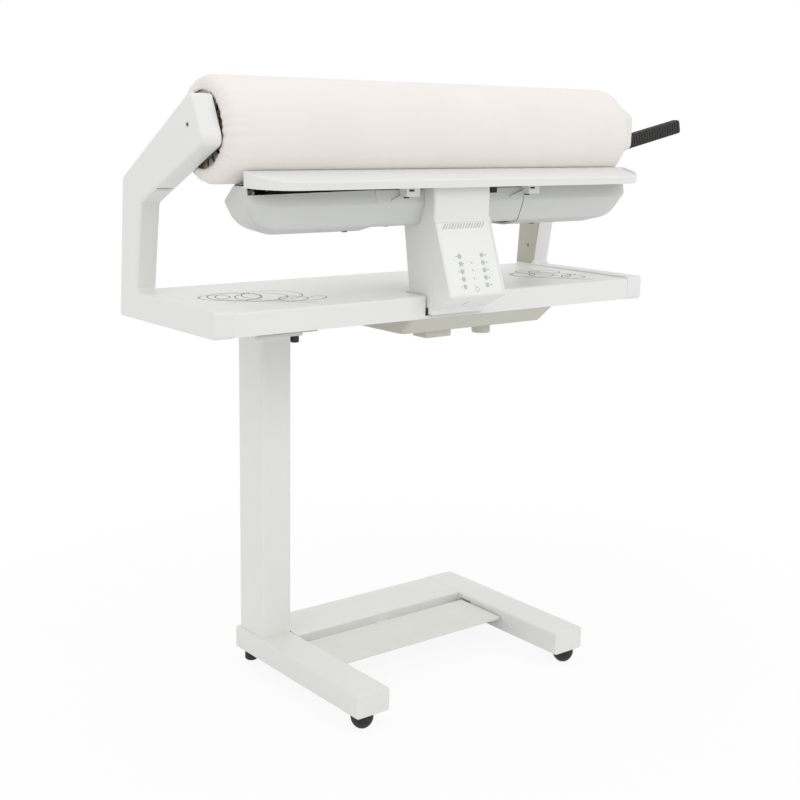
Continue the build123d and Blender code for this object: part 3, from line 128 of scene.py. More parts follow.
# %% World
scene.view_settings.view_transform = "Standard"
world = bpy.data.worlds.new("studio")
scene.world = world
world.use_nodes = True
sky = world.node_tree
sky.nodes.clear()
seen = seen_directly(sky)
fill_light = add_node(sky, "ShaderNodeBackground", {"Color": srgb("#FDFDFC"), "Strength": 0.8})
backdrop = add_node(sky, "ShaderNodeBackground", {"Color": (1, 1, 1, 1), "Strength": 1.0})
both = add_node(
    sky, "ShaderNodeMixShader", None,
    {0: seen.outputs[0], 1: fill_light.outputs[0], 2: backdrop.outputs[0]},
)
add_node(sky, "ShaderNodeOutputWorld", None, {"Surface": both.outputs[0]})
print("world:", len(sky.nodes), "nodes")


# %% Lamps
def softbox(name, place, target, width, height, watts):
    """A rectangular lamp that faces a point."""
    lamp = bpy.data.lights.new(name, "AREA")
    lamp.shape = "RECTANGLE"
    lamp.size, lamp.size_y = width, height
    lamp.energy = watts
    lamp_object = bpy.data.objects.new(name, lamp)
    direction = Vector(target) - Vector(place)
    lamp_object.rotation_euler = direction.to_track_quat("-Z", "Y").to_euler()
    lamp_object.location = place
    scene.collection.objects.link(lamp_object)
    print(name, watts, "W")


softbox("key_softbox", (1.1, -3.2, 2.6), target=(0, 0, 0.8), width=2.2, height=1.8, watts=22)
softbox("top_softbox", (-0.2, 0.2, 3.3), target=(0, 0, 0.8), width=2.6, height=2.0, watts=9)
softbox("side_softbox", (-2.8, -0.7, 2.4), target=(0, 0, 1.0), width=1.6, height=1.4, watts=9)

# %% Floor
floor_reach = 7.0
floor_mesh = bmesh.new()
bmesh.ops.create_grid(floor_mesh, x_segments=1, y_segments=1, size=floor_reach)
floor_data = bpy.data.meshes.new("floor")
floor_mesh.to_mesh(floor_data)
floor_mesh.free()
floor = bpy.data.objects.new("floor", floor_data)
scene.collection.objects.link(floor)
print("floor:", 2 * floor_reach, "m square")

# %% Paper
# Seen directly, the paper near the machine is a tenth its own matt surface, which keeps the
# machine's shadow, and nine tenths plain white. Further out it becomes all white.
shadow_reach, white_from = 0.45, 1.5
white_share = 0.9
paper = bpy.data.materials.new("white_paper_sweep")
paper.use_nodes = True
tree = paper.node_tree
tree.nodes.clear()
matt = add_node(tree, "ShaderNodeBsdfDiffuse", {"Color": (0.92, 0.92, 0.92, 1)})
glow = add_node(tree, "ShaderNodeEmission", {"Color": (1, 1, 1, 1), "Strength": 1.0})
seen = seen_directly(tree)
where = add_node(tree, "ShaderNodeTexCoord")
away = add_node(
    tree, "ShaderNodeVectorMath", {"operation": "LENGTH"}, {0: where.outputs["Object"]},
)
whiteness = add_node(tree, "ShaderNodeMapRange", {
    "interpolation_type": "SMOOTHSTEP",
    "From Min": shadow_reach, "From Max": white_from, "To Min": white_share, "To Max": 1.0,
}, {"Value": away.outputs["Value"]})
share = add_node(
    tree, "ShaderNodeMath", {"operation": "MULTIPLY"},
    {0: seen.outputs[0], 1: whiteness.outputs[0]},
)
blend = add_node(
    tree, "ShaderNodeMixShader", None,
    {0: share.outputs[0], 1: matt.outputs[0], 2: glow.outputs[0]},
)
add_node(tree, "ShaderNodeOutputMaterial", None, {"Surface": blend.outputs[0]})
floor.data.materials.append(paper)
print("paper:", len(tree.nodes), "nodes")

# %% [markdown]
# ## Finishes
# Every finish starts from what the real surface is and how it was made. Colour is nearly even on
# new white goods, so the eye reads the finish from its gloss and its finest relief: the soft
# ripple of powder coat, the sparked grain of a moulded cover, the threads of the cotton.

# %% Helpers for finishes
def finish(name, colour, roughness, metallic=0.0, ior=1.5):
    """A new material and its shader."""
    material = bpy.data.materials.new(name)
    material.use_nodes = True
    shader = material.node_tree.nodes["Principled BSDF"]
    shader.inputs["Base Color"].default_value = srgb(colour)
    shader.inputs["Roughness"].default_value = roughness
    shader.inputs["Metallic"].default_value = metallic
    if metallic == 0.0:
        shader.inputs["IOR"].default_value = ior
    print("finish", name, colour)
    return material, shader


def noise_scale(size_mm):
    """Scale of a noise texture whose grains are a size in millimetres."""
    return 1000 / size_mm


def band_scale(spacing_mm):
    """Scale of a wave texture whose bands are a spacing in millimetres apart."""
    return 2 * math.pi / 20 / (spacing_mm * MM)


def cloudy(material, shader, colour, other, size_mm):
    """Lets the colour drift between two close tones over a distance in millimetres."""
    tree = material.node_tree
    where = add_node(tree, "ShaderNodeTexCoord")
    cloud = add_node(
        tree, "ShaderNodeTexNoise", {"Scale": noise_scale(size_mm), "Detail": 3.0},
        {"Vector": where.outputs["Object"]},
    )
    tones = add_node(
        tree, "ShaderNodeMix", {"data_type": "RGBA", 6: srgb(colour), 7: srgb(other)},
        {0: cloud.outputs["Fac"]},
    )
    tree.links.new(tones.outputs[2], shader.inputs["Base Color"])


def relief(material, shader, size_mm, depth_mm, strength, detail=2.0):
    """A fine random relief, such as moulded grain, with grains of a size in millimetres."""
    tree = material.node_tree
    where = add_node(tree, "ShaderNodeTexCoord")
    grains = add_node(
        tree, "ShaderNodeTexNoise", {"Scale": noise_scale(size_mm), "Detail": detail},
        {"Vector": where.outputs["Object"]},
    )
    bump = add_node(
        tree, "ShaderNodeBump", {"Strength": strength, "Distance": depth_mm * MM},
        {"Height": grains.outputs["Fac"]},
    )
    tree.links.new(bump.outputs["Normal"], shader.inputs["Normal"])
    return bump


# %% White painted steel
# Powder coat on welded tube: satin, with a very soft ripple a few millimetres across.
powder_coat, shader = finish("white_powder_coat", "#ECECE9", roughness=0.38)
cloudy(powder_coat, shader, "#EDEDEA", "#E9E9E6", size_mm=180)
relief(powder_coat, shader, size_mm=2.2, depth_mm=0.05, strength=0.35)

# %% White moulded covers
# ABS from a spark-eroded mould: an even grain of about half a millimetre takes the shine off. It
# is drawn a little coarser, or it wouldn't show.
moulded_abs, shader = finish("white_moulded_abs", "#EBEBEA", roughness=0.42, ior=1.53)
cloudy(moulded_abs, shader, "#ECECEB", "#E8E8E7", size_mm=240)
relief(moulded_abs, shader, size_mm=0.7, depth_mm=0.03, strength=0.4)

# %% Grey mouldings
# The covers under the roller are moulded in a cooler grey, darker than the casings as painted
# shade from the board above them, and the motor housing under the table in a warm grey, darkened
# as painted shade from the table over it. The swing arm is painted a light grey in place of its
# zinc, as painted light in the shade below the column cover, and the right post's inner sheet a
# like grey as painted shade.
cover_abs_painted_shade, shader = finish("cover_grey_abs_painted_shade", "#D2D3D1", roughness=0.42, ior=1.53)
cloudy(cover_abs_painted_shade, shader, "#D4D5D3", "#CED0CD", size_mm=200)
relief(cover_abs_painted_shade, shader, size_mm=0.7, depth_mm=0.03, strength=0.4)
under_abs_painted_shade, shader = finish("warm_grey_abs_painted_shade", "#C9C9BD", roughness=0.45, ior=1.53)
cloudy(under_abs_painted_shade, shader, "#CBCBC0", "#C4C4B8", size_mm=120)
relief(under_abs_painted_shade, shader, size_mm=0.7, depth_mm=0.03, strength=0.4)
paint_for_light_and_shade, shader = finish("grey_paint_light_and_shade", "#BDBCAE", roughness=0.45)
cloudy(paint_for_light_and_shade, shader, "#C0BFB2", "#B7B6A8", size_mm=60)
relief(paint_for_light_and_shade, shader, size_mm=2.0, depth_mm=0.04, strength=0.3)

# %% Pedal
# The pedal is powder coated in a slightly greener grey, dulled by shoes.
pedal_coat, shader = finish("pedal_powder_coat", "#E8E9E3", roughness=0.5)
cloudy(pedal_coat, shader, "#EAEBE5", "#E2E3DD", size_mm=60)
relief(pedal_coat, shader, size_mm=2.0, depth_mm=0.05, strength=0.4)

# %% Black rubber and plastic
# Rubber glides and the lever's grip are dull; the clamp knob is moulded nylon and a bit shinier.
# The grip's ribs are a wave of bands along it, on top of the rubber's own grain.
glide_rubber, shader = finish("black_glide_rubber", "#1A1918", roughness=0.62, ior=1.52)
cloudy(glide_rubber, shader, "#1B1A19", "#141413", size_mm=20)
relief(glide_rubber, shader, size_mm=0.6, depth_mm=0.05, strength=0.5)
grip_rubber, shader = finish("ribbed_grip_rubber", "#1D1B19", roughness=0.55, ior=1.52)
cloudy(grip_rubber, shader, "#21201D", "#151412", size_mm=9)
grain = relief(grip_rubber, shader, size_mm=1.1, depth_mm=0.12, strength=0.7)
tree = grip_rubber.node_tree
where = add_node(tree, "ShaderNodeTexCoord")
ribs = add_node(
    tree, "ShaderNodeTexWave",
    {"wave_type": "BANDS", "bands_direction": "X", "Scale": band_scale(3.2)},
    {"Vector": where.outputs["Object"]},
)
ribbed = add_node(
    tree, "ShaderNodeBump", {"Strength": 0.8, "Distance": 0.5 * MM},
    {"Height": ribs.outputs["Fac"], "Normal": grain.outputs["Normal"]},
)
tree.links.new(ribbed.outputs["Normal"], shader.inputs["Normal"])
black_nylon, shader = finish("black_nylon", "#1F1F1E", roughness=0.4, ior=1.53)
cloudy(black_nylon, shader, "#222221", "#1A1A19", size_mm=25)
relief(black_nylon, shader, size_mm=0.5, depth_mm=0.03, strength=0.4)

# %% Metals
# Zinc plate on brackets and shafts, a duller motor can, the pressed discs of the roller in a
# warm grey, and the dark paint of the release lever.
zinc_plate, shader = finish("zinc_plated_steel", "#B4B5B4", roughness=0.36, metallic=1.0)
cloudy(zinc_plate, shader, "#B9BAB8", "#A4A6A7", size_mm=12)
relief(zinc_plate, shader, size_mm=0.8, depth_mm=0.02, strength=0.3)
motor_can, shader = finish("motor_can_steel", "#909192", roughness=0.45, metallic=1.0)
cloudy(motor_can, shader, "#96979A", "#858687", size_mm=15)
relief(motor_can, shader, size_mm=0.6, depth_mm=0.02, strength=0.3)
disc_steel, shader = finish("pressed_disc_steel", "#B9B3A8", roughness=0.42, metallic=0.7)
cloudy(disc_steel, shader, "#C2BCB1", "#A59F94", size_mm=14)
relief(disc_steel, shader, size_mm=1.0, depth_mm=0.03, strength=0.3)
dark_steel, shader = finish("dark_painted_steel", "#3B3B3A", roughness=0.5)
cloudy(dark_steel, shader, "#414140", "#333332", size_mm=18)
relief(dark_steel, shader, size_mm=1.2, depth_mm=0.04, strength=0.4)

# %% Roller's axis
roller_low, roller_high = (Vector(corner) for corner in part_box("roller_cover"))
axis = Vector((0, (roller_low.y + roller_high.y) / 2, (roller_low.z + roller_high.z) / 2))
cloth_radius = (roller_high.z - roller_low.z) / 2
print("roller axis", [round(c, 4) for c in axis], "radius", round(cloth_radius, 4))

# %% Heated shoe
# The cast aluminium shoe is matt black on its back as painted shade: the black stands for the
# shade in the gaps under the board's edge. Its hollow face is ground bright. One rule tells the
# two
# apart: how far a point lies from the roller's axis. The bright face stands a millimetre off the
# cloth.
bright_to, black_from = cloth_radius + 1.3 * MM, cloth_radius + 1.6 * MM
shoe_painted_shade, shader = finish("shoe_aluminium_with_painted_shade", "#1C1C1B", roughness=0.6)
tree = shoe_painted_shade.node_tree
where = add_node(tree, "ShaderNodeTexCoord")
across = add_node(
    tree, "ShaderNodeVectorMath", {"operation": "MULTIPLY", 1: (0, 1, 1)},
    {0: where.outputs["Object"]},
)
radial = add_node(
    tree, "ShaderNodeVectorMath", {"operation": "DISTANCE", 1: axis}, {0: across.outputs[0]},
)
back = add_node(
    tree, "ShaderNodeMapRange", {"From Min": bright_to, "From Max": black_from},
    {"Value": radial.outputs["Value"]},
)
specks = add_node(
    tree, "ShaderNodeTexNoise", {"Scale": noise_scale(1.2), "Detail": 3.0},
    {"Vector": where.outputs["Object"]},
)
# Painted shade: the black tone of the shoe's back.
shade_tone = add_node(
    tree, "ShaderNodeMix", {"data_type": "RGBA", 6: srgb("#232322"), 7: srgb("#161615")},
    {0: specks.outputs["Fac"]},
)
tone = add_node(
    tree, "ShaderNodeMix", {"data_type": "RGBA", 6: srgb("#D2D3D4")},
    {0: back.outputs[0], 7: shade_tone.outputs[2]},
)
bright = add_node(
    tree, "ShaderNodeMath", {"operation": "SUBTRACT", 0: 1.0}, {1: back.outputs[0]},
)
gloss = add_node(
    tree, "ShaderNodeMapRange", {"To Min": 0.28, "To Max": 0.62}, {"Value": back.outputs[0]},
)
tree.links.new(tone.outputs[2], shader.inputs["Base Color"])
tree.links.new(bright.outputs[0], shader.inputs["Metallic"])
tree.links.new(gloss.outputs[0], shader.inputs["Roughness"])
relief(shoe_painted_shade, shader, size_mm=1.2, depth_mm=0.03, strength=0.3)

# %% Panel film and keys
# The panel is a thin printed film over plastic, smoother than the moulded wedge round it. The
# keys are pale blue-grey discs.
panel_film, shader = finish("panel_film", "#EFEFEE", roughness=0.3, ior=1.57)
cloudy(panel_film, shader, "#F0F0EF", "#EDEDEC", size_mm=60)
relief(panel_film, shader, size_mm=1.4, depth_mm=0.01, strength=0.2)
key_plastic, shader = finish("key_plastic", "#C0C8CC", roughness=0.35, ior=1.53)
cloudy(key_plastic, shader, "#C7CFD3", "#B6BFC5", size_mm=2.5)
relief(key_plastic, shader, size_mm=0.5, depth_mm=0.01, strength=0.3)

# %% [markdown]
# ## Giving each solid its finish
# A dictionary from finish to piece names is easy to read and to change. Each piece keeps its one
# material slot, and only what is in the slot changes.

# %% Assign finishes
finished = {
    powder_coat: [
        "left_leg", "right_leg", "rear_crossbar", "stand_column", "table_panel",
        "left_inner_plate", "right_inner_plate",
    ],
    moulded_abs: [
        "left_casing", "right_casing", "left_joint_cover", "column_cover", "panel_housing",
        "feed_board", "feed_board_brackets", "roller_bushes", "press_cam", "pedal_switch",
    ],
    # The covers' and under-housing's darker greys are painted shade; the swing arm's grey is
    # painted light.
    cover_abs_painted_shade: ["left_shoe_cover", "centre_shoe_cover", "right_shoe_cover"],
    under_abs_painted_shade: ["under_housing", "inlet_box", "service_cap"],
    paint_for_light_and_shade: ["swing_arm"],
    pedal_coat: ["pedal_plate"],
    glide_rubber: ["front_glides", "rear_glides"],
    grip_rubber: ["lever_grip"],
    black_nylon: ["stand_knob", "roller_gear", "lever_bracket"],
    zinc_plate: [
        "head_bracket", "pedal_springs", "pedal_brackets", "cross_rails", "swing_shaft",
        "swing_bearings", "heating_element", "roller_shafts", "drive_pinion",
    ],
    motor_can: ["press_motor", "drive_motor"],
    disc_steel: ["roller_tube", "roller_end_discs"],
    dark_steel: ["release_lever"],
    # The shoe's black back is painted shade.
    shoe_painted_shade: ["heated_shoe"],
    panel_film: ["control_panel"],
    key_plastic: [f"key_{n}" for n in range(1, 11)],
}
for material, names in finished.items():
    for name in names:
        nodes[name].material_slots[0].material = material
print("finished nodes:", sum(len(names) for names in finished.values()))

# %% [markdown]
# ## The roller's padding and cover
# The steel tube wears a thick sleeve of needled felt, and over it a tight cotton cover whose ends
# are turned in and drawn together by a tape. Both are round about one axis, so each starts as a
# short line of points that is spun. The tape's pull is seen as gathers that run over the edge and
# die out along the cloth. A cloth simulation could fold them, but a cover this tight hardly moves,
# so a few waves are pushed into the spun mesh instead, which gives the same folds each run.

# %% Making a piece
def new_piece(shape, name, body, material):
    """Makes an object from a bmesh, gives it its finish and lets it ride on a body."""
    bmesh.ops.recalc_face_normals(shape, faces=shape.faces)
    data = bpy.data.meshes.new(name)
    shape.to_mesh(data)
    shape.free()
    piece = bpy.data.objects.new(name, data)
    scene.collection.objects.link(piece)
    data.materials.append(material)
    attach(piece, body)
    print(name, "faces:", len(data.polygons))
    return piece


# %% Spinning a sleeve
merge_distance = 0.01 * MM
long_run = 200 * MM


def spun_section(corners, rounding, cuts, closed, turns):
    """Spins a line with rounded corners about the roller's axis.

    The corners are given along the axis and out from it. Each long run gets some cuts.
    """
    shape = bmesh.new()
    verts = [shape.verts.new((x, axis.y, axis.z + r)) for x, r in corners]
    for pair in zip(verts, verts[1:] + verts[:1] if closed else verts[1:]):
        shape.edges.new(pair)
    rounded = verts if closed else verts[1:-1]
    bmesh.ops.bevel(
        shape, geom=rounded, offset=rounding, segments=8, profile=0.5, affect="VERTICES",
        material=-1,
    )
    long_edges = [edge for edge in shape.edges if edge.calc_length() > long_run]
    bmesh.ops.subdivide_edges(shape, edges=long_edges, cuts=cuts)
    line = list(shape.verts) + list(shape.edges)
    bmesh.ops.spin(
        shape, geom=line, cent=axis, axis=(1, 0, 0), angle=2 * math.pi, steps=turns,
        use_merge=True,
    )
    bmesh.ops.remove_doubles(shape, verts=shape.verts, dist=merge_distance)
    bmesh.ops.recalc_face_normals(shape, faces=shape.faces)
    return shape


# %% Felt
# Needled felt is soft and fibrous, with a coarse relief and a little sheen. It ends a few
# millimetres short of the solid sleeve, so that the cover's turned-in ends clear it.
felt_thickness = 12.5 * MM
felt_short = 2.5 * MM
needled_felt, shader = finish("needled_felt", "#D8D2C6", roughness=0.95)
cloudy(needled_felt, shader, "#DCD6CA", "#CFC8BB", size_mm=7)
relief(needled_felt, shader, size_mm=1.5, depth_mm=0.4, strength=0.8, detail=6.0)
shader.inputs["Sheen Weight"].default_value = 0.3
felt_low, felt_high = (Vector(corner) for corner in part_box("roller_padding"))
felt_outer = (felt_high.z - felt_low.z) / 2
felt_inner = felt_outer - felt_thickness
felt_left, felt_right = felt_low.x + felt_short, felt_high.x - felt_short
shape = spun_section([
    (felt_left, felt_inner), (felt_left, felt_outer),
    (felt_right, felt_outer), (felt_right, felt_inner),
], rounding=5 * MM, cuts=30, closed=True, turns=96)
felt = new_piece(shape, "felt_padding", "roller", needled_felt)
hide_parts("roller_padding")

# %% Cotton cover
# Two sets of gathers, made uneven by slower waves, are strongest at the ends. A few soft hills
# some 20 to 55 millimetres across keep the cloth from being a perfect cylinder.
cloth_opening = 60 * MM
turn_in = 19.5 * MM
gather_reach = 55 * MM
gathers, side_gathers = 34, 21
shape = spun_section([
    (roller_low.x, cloth_opening), (roller_low.x, cloth_radius),
    (roller_high.x, cloth_radius), (roller_high.x, cloth_opening),
], rounding=turn_in, cuts=84, closed=False, turns=256)
for vert in shape.verts:
    from_end = min(vert.co.x - roller_low.x, roller_high.x - vert.co.x)
    around = math.atan2(vert.co.z - axis.z, vert.co.y - axis.y)
    pull = max(0.0, 1 - from_end / gather_reach) ** 1.6
    drift = 2.1 * math.sin(3 * around) + 1.2 * math.sin(8 * around + 1.0)
    pleat = math.sin(gathers * around + drift)
    side_pleat = math.sin(side_gathers * around + 1.7 * math.sin(5 * around + 2.0))
    hills = noise.noise(vert.co * 18) + 0.5 * noise.noise(vert.co * 45)
    lift_mm = pull * (0.55 * pleat + 0.35 * side_pleat - 0.6) + 0.22 * hills
    vert.co += vert.normal * lift_mm * MM
print("cotton points:", len(shape.verts))

# %% Cotton map
# The cloth's own map follows it along the roller and round it, both in metres, and over its edges
# it goes on inwards.
loops = shape.loops.layers.uv.new("cloth")
for face in shape.faces:
    angles = [math.atan2(loop.vert.co.z - axis.z, loop.vert.co.y - axis.y) for loop in face.loops]
    wraps = max(angles) - min(angles) > math.pi
    for loop, around in zip(face.loops, angles):
        around = around + 2 * math.pi if wraps and around < 0 else around
        offset = loop.vert.co - axis
        inward = cloth_radius - math.hypot(offset.y, offset.z)
        side = -1 if offset.x < (roller_low.x + roller_high.x) / 2 else 1
        loop[loops].uv = (offset.x + side * inward, around * cloth_radius)
print("mapped faces:", len(shape.faces))

# %% Cotton finish
# Bleached cotton twill has some twenty threads to the centimetre. They are too fine to show, so
# they are drawn 1.4 millimetres apart. The cloth is matt, with the faint sheen of loose fibres.
thread_spacing_mm = 1.4
cotton_twill, shader = finish("bleached_cotton_twill", "#F4EFEC", roughness=0.9)
tree = cotton_twill.node_tree
cloth_map = add_node(tree, "ShaderNodeUVMap", {"uv_map": "cloth"})
where = add_node(tree, "ShaderNodeTexCoord")
warp, weft = (
    add_node(tree, "ShaderNodeTexWave", {
        "wave_type": "BANDS", "bands_direction": direction,
        "Scale": band_scale(thread_spacing_mm), "Distortion": 0.4,
    }, {"Vector": cloth_map.outputs[0]})
    for direction in ("X", "Y")
)
threads = add_node(
    tree, "ShaderNodeMath", {"operation": "MULTIPLY"},
    {0: warp.outputs["Fac"], 1: weft.outputs["Fac"]},
)
weave = add_node(
    tree, "ShaderNodeBump", {"Strength": 0.5, "Distance": 0.2 * MM},
    {"Height": threads.outputs[0]},
)
tree.links.new(weave.outputs["Normal"], shader.inputs["Normal"])
fade = add_node(
    tree, "ShaderNodeTexNoise", {"Scale": noise_scale(90), "Detail": 4.0},
    {"Vector": where.outputs["Object"]},
)
pale = add_node(
    tree, "ShaderNodeMix", {"data_type": "RGBA", 6: srgb("#F6F1EE"), 7: srgb("#F0EAE5")},
    {0: fade.outputs["Fac"]},
)
woven = add_node(
    tree, "ShaderNodeMix",
    {"data_type": "RGBA", "blend_type": "MULTIPLY", 7: srgb("#F7F5F3")},
    {0: threads.outputs[0], 6: pale.outputs[2]},
)
tree.links.new(woven.outputs[2], shader.inputs["Base Color"])
shader.inputs["Sheen Weight"].default_value = 0.25
shader.inputs["Sheen Roughness"].default_value = 0.5

# %% Cover piece and its thickness
cover = new_piece(shape, "cotton_cover", "roller", cotton_twill)
wall = cover.modifiers.new("thickness", "SOLIDIFY")
wall.thickness = 0.6 * MM
wall.offset = -1
for polygon in cover.data.polygons:
    polygon.use_smooth = True
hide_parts("roller_cover")

# %% [markdown]
# ## Print on the panel
# The film is screen printed in grey: a pale band of slanting bars at the top, short marks beside
# the keys, and three drop-like signs with a ring in the middle. The material could draw them, but
# real shapes stay sharp from close by and are easy to move. Each mark starts as a flat face and
# gets the thickness of a layer of ink, a few hundredths of a millimetre.

# %% The panel's slope and inks
# The panel leans back 47 millimetres over 138.2 of slope. Its film lies 0.8 millimetres under
# the housing's face, and the print on the film.
print_depth = 0.76 * MM
panel_lean = math.asin(47 / 138.2)
panel_left, panel_right = (corner[0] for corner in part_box("control_panel"))
head_x = (panel_left + panel_right) / 2
up_slope = Vector((0, math.sin(panel_lean), math.cos(panel_lean)))
outward = Vector((0, -math.cos(panel_lean), math.sin(panel_lean)))
panel_foot = Vector((head_x, -207 * MM, 740 * MM))
panel_place = Matrix((Vector((1, 0, 0)), up_slope, outward)).transposed().to_4x4()
panel_place.translation = panel_foot - outward * print_depth
panel_ink, shader = finish("grey_screen_ink", "#9D9D9B", roughness=0.4)
cloudy(panel_ink, shader, "#A5A5A3", "#949492", size_mm=3)
band_ink, shader = finish("pale_screen_ink", "#CCCAC4", roughness=0.4)
cloudy(band_ink, shader, "#D1CFC9", "#C5C3BD", size_mm=3)
print("head's middle at x", round(head_x, 4))


# %% Band and marks
def bar(shape, x, s, width, height, slant=0.0):
    """One printed bar on the panel, at millimetres across and up the slope."""
    made = bmesh.ops.create_grid(shape, x_segments=1, y_segments=1, size=0.5 * MM)
    for vert in made["verts"]:
        across, along = vert.co.x * width, vert.co.y * height
        vert.co = Vector((x * MM + across + along * slant, s * MM + along, 0))


band = bmesh.new()
for step in range(15):
    wide = 3.6 if step % 3 else 4.6
    bar(band, -44.5 + 6.2 * step, 124.5, width=wide, height=9.5, slant=0.8)

marks = bmesh.new()
first_key, key_pitch, right_marks = 19.0, 13.2, 34.0
*key_rows, top_row = (first_key + key_pitch * row for row in range(5))
bar(marks, -31.5, top_row, width=5.0, height=0.9)
for row in key_rows:
    left_mark = -18.0 if row == key_rows[-1] else -32.5
    bar(marks, left_mark, row, width=2.4, height=1.1)
    bar(marks, right_marks, row, width=3.2, height=1.8, slant=0.3)
bar(marks, right_marks, top_row, width=3.0, height=1.8, slant=0.3)
for sign in (58.7, 45.6, 31.4):
    bar(marks, -1.0, sign + 0.8, width=1.4, height=4.0, slant=-0.45)
    bar(marks, 3.6, sign - 0.6, width=2.2, height=1.0)
print("bars:", len(band.faces) + len(marks.faces))

# %% Ring and print pieces
ring_middle = (1.5 * MM, 12.7 * MM, 0)
ink_thickness = 0.03 * MM
circle_steps = 28
outer = bmesh.ops.create_circle(marks, segments=circle_steps, radius=4.2 * MM)["verts"]
inner = bmesh.ops.create_circle(marks, segments=circle_steps, radius=3.3 * MM)["verts"]
ring = outer + inner
bmesh.ops.translate(marks, verts=ring, vec=ring_middle)
ring_edges = [edge for edge in marks.edges if all(vert in ring for vert in edge.verts)]
bmesh.ops.bridge_loops(marks, edges=ring_edges)
bar(marks, -2.0, 18.5, width=5.0, height=0.9)
bmesh.ops.reverse_faces(marks, faces=[face for face in marks.faces if face.normal.z < 0])
for print_shape in (marks, band):
    bmesh.ops.solidify(print_shape, geom=print_shape.faces[:], thickness=ink_thickness)
    bmesh.ops.transform(print_shape, matrix=panel_place, verts=print_shape.verts)
new_piece(band, "panel_band", "swing_head", band_ink)
new_piece(marks, "panel_print", "swing_head", panel_ink)

# %% [markdown]
# ## Line print on the table
# Each side of the table carries a fine grey line print. A strip of faces would have to be bent
# round every loop, so the line is a curve: a row of control points gives it its loops, a small
# round section gives it its width, and it is pressed nearly flat once it is a mesh.

# %% Drawing a line
table_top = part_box("table_panel")[1][2]
table_ink, shader = finish("grey_table_ink", "#5F5F63", roughness=0.45)
cloudy(table_ink, shader, "#68686C", "#57575B", size_mm=15)


def drawn_line(name, points, width):
    """A printed line through points in metres on the table top."""
    curve = bpy.data.curves.new(name, "CURVE")
    curve.dimensions = "3D"
    curve.bevel_depth = width / 2
    curve.bevel_resolution = 1
    curve.resolution_u = 6
    spline = curve.splines.new("NURBS")
    spline.points.add(len(points) - 1)
    for point, (x, y) in zip(spline.points, points):
        point.co = (x, y, 0, 1)
    spline.order_u = 4
    spline.use_endpoint_u = True
    holder = bpy.data.objects.new(name + "_curve", curve)
    scene.collection.objects.link(holder)
    evaluated = holder.evaluated_get(bpy.context.evaluated_depsgraph_get())
    drawn = bpy.data.meshes.new_from_object(evaluated)
    bpy.data.objects.remove(holder)
    shape = bmesh.new()
    shape.from_mesh(drawn)
    bpy.data.meshes.remove(drawn)
    bmesh.ops.scale(shape, vec=(1, 1, 0.1), verts=shape.verts)
    bmesh.ops.translate(shape, vec=(0, 0, table_top), verts=shape.verts)
    bmesh.ops.holes_fill(shape, edges=shape.edges)
    new_piece(shape, name, "frame", table_ink)


# %% Looping lines
def wave_of_loops(start, end, height, loops, steps):
    """A line that runs between two points in loops which grow and shrink again.

    The points are given across from the head's middle and to the rear.
    """
    points = []
    for step in range(steps + 1):
        t = step / steps
        turn = 2 * math.pi * loops * t
        size = height * (0.35 + 0.65 * math.sin(math.pi * t))
        x = head_x + start[0] + (end[0] - start[0]) * t + size * 0.55 * math.sin(turn)
        y = start[1] + (end[1] - start[1]) * t + size * (1 - math.cos(turn)) * 0.5
        points.append((x, y))
    return points


long_left = wave_of_loops((-0.395, -0.010), (-0.270, -0.115), height=0.110, loops=4.0, steps=60)
short_left = wave_of_loops((-0.360, -0.040), (-0.245, -0.105), height=0.130, loops=2.5, steps=40)
long_right = wave_of_loops((0.295, -0.020), (0.370, -0.120), height=0.100, loops=4.0, steps=60)
short_right = wave_of_loops((0.345, 0.020), (0.380, -0.070), height=0.080, loops=2.5, steps=40)
drawn_line("table_line_1", long_left, 2.4 * MM)
drawn_line("table_line_2", short_left, 2.2 * MM)
drawn_line("table_line_3", long_right, 2.4 * MM)
drawn_line("table_line_4", short_right, 2.2 * MM)

# %% [markdown]
# ## Screws
# The side casings and the shoe covers are held by screws with round heads. Each starts as a short
# cylinder and gets a bevelled rim and a sunk socket. Its place and tilt could be typed in, but the
# nearest point of the piece gives both, so the head lies flat on any surface.

# %% One screw
dark_zinc, shader = finish("dark_zinc_screw", "#6E6E6C", roughness=0.4, metallic=1.0)
cloudy(dark_zinc, shader, "#767674", "#5F5F5D", size_mm=3)
relief(dark_zinc, shader, size_mm=0.5, depth_mm=0.02, strength=0.3)
head_height, head_rim, head_raised = 1.4 * MM, 0.5 * MM, 0.4 * MM
socket_depth, socket_rim = 0.9 * MM, 0.42  # the rim as a share of the radius


def from_middle(x, y, z):
    """A point given across from the head's middle, to the rear and up from the floor."""
    return Vector((head_x + x, y, z))


def top_face(shape):
    """The face that lies highest."""
    return max(shape.faces, key=lambda face: face.calc_center_median().z)


def screw(name, node, place, radius, body):
    """A round-headed screw on the nearest point of a CAD piece."""
    _, spot, direction, _ = nodes[node].closest_point_on_mesh(place)
    shape = bmesh.new()
    bmesh.ops.create_cone(
        shape, cap_ends=True, segments=circle_steps, radius1=radius, radius2=radius,
        depth=head_height,
    )
    bmesh.ops.bevel(
        shape, geom=list(top_face(shape).edges), offset=head_rim, segments=3, profile=0.5,
        affect="EDGES", material=-1,
    )
    socket = top_face(shape)
    bmesh.ops.inset_region(shape, faces=[socket], thickness=radius * socket_rim)
    bmesh.ops.translate(shape, vec=(0, 0, -socket_depth), verts=socket.verts)
    lay = direction.to_track_quat("Z", "Y").to_matrix().to_4x4()
    lay.translation = spot + direction * head_raised
    bmesh.ops.transform(shape, matrix=lay, verts=shape.verts)
    new_piece(shape, name, body, dark_zinc)


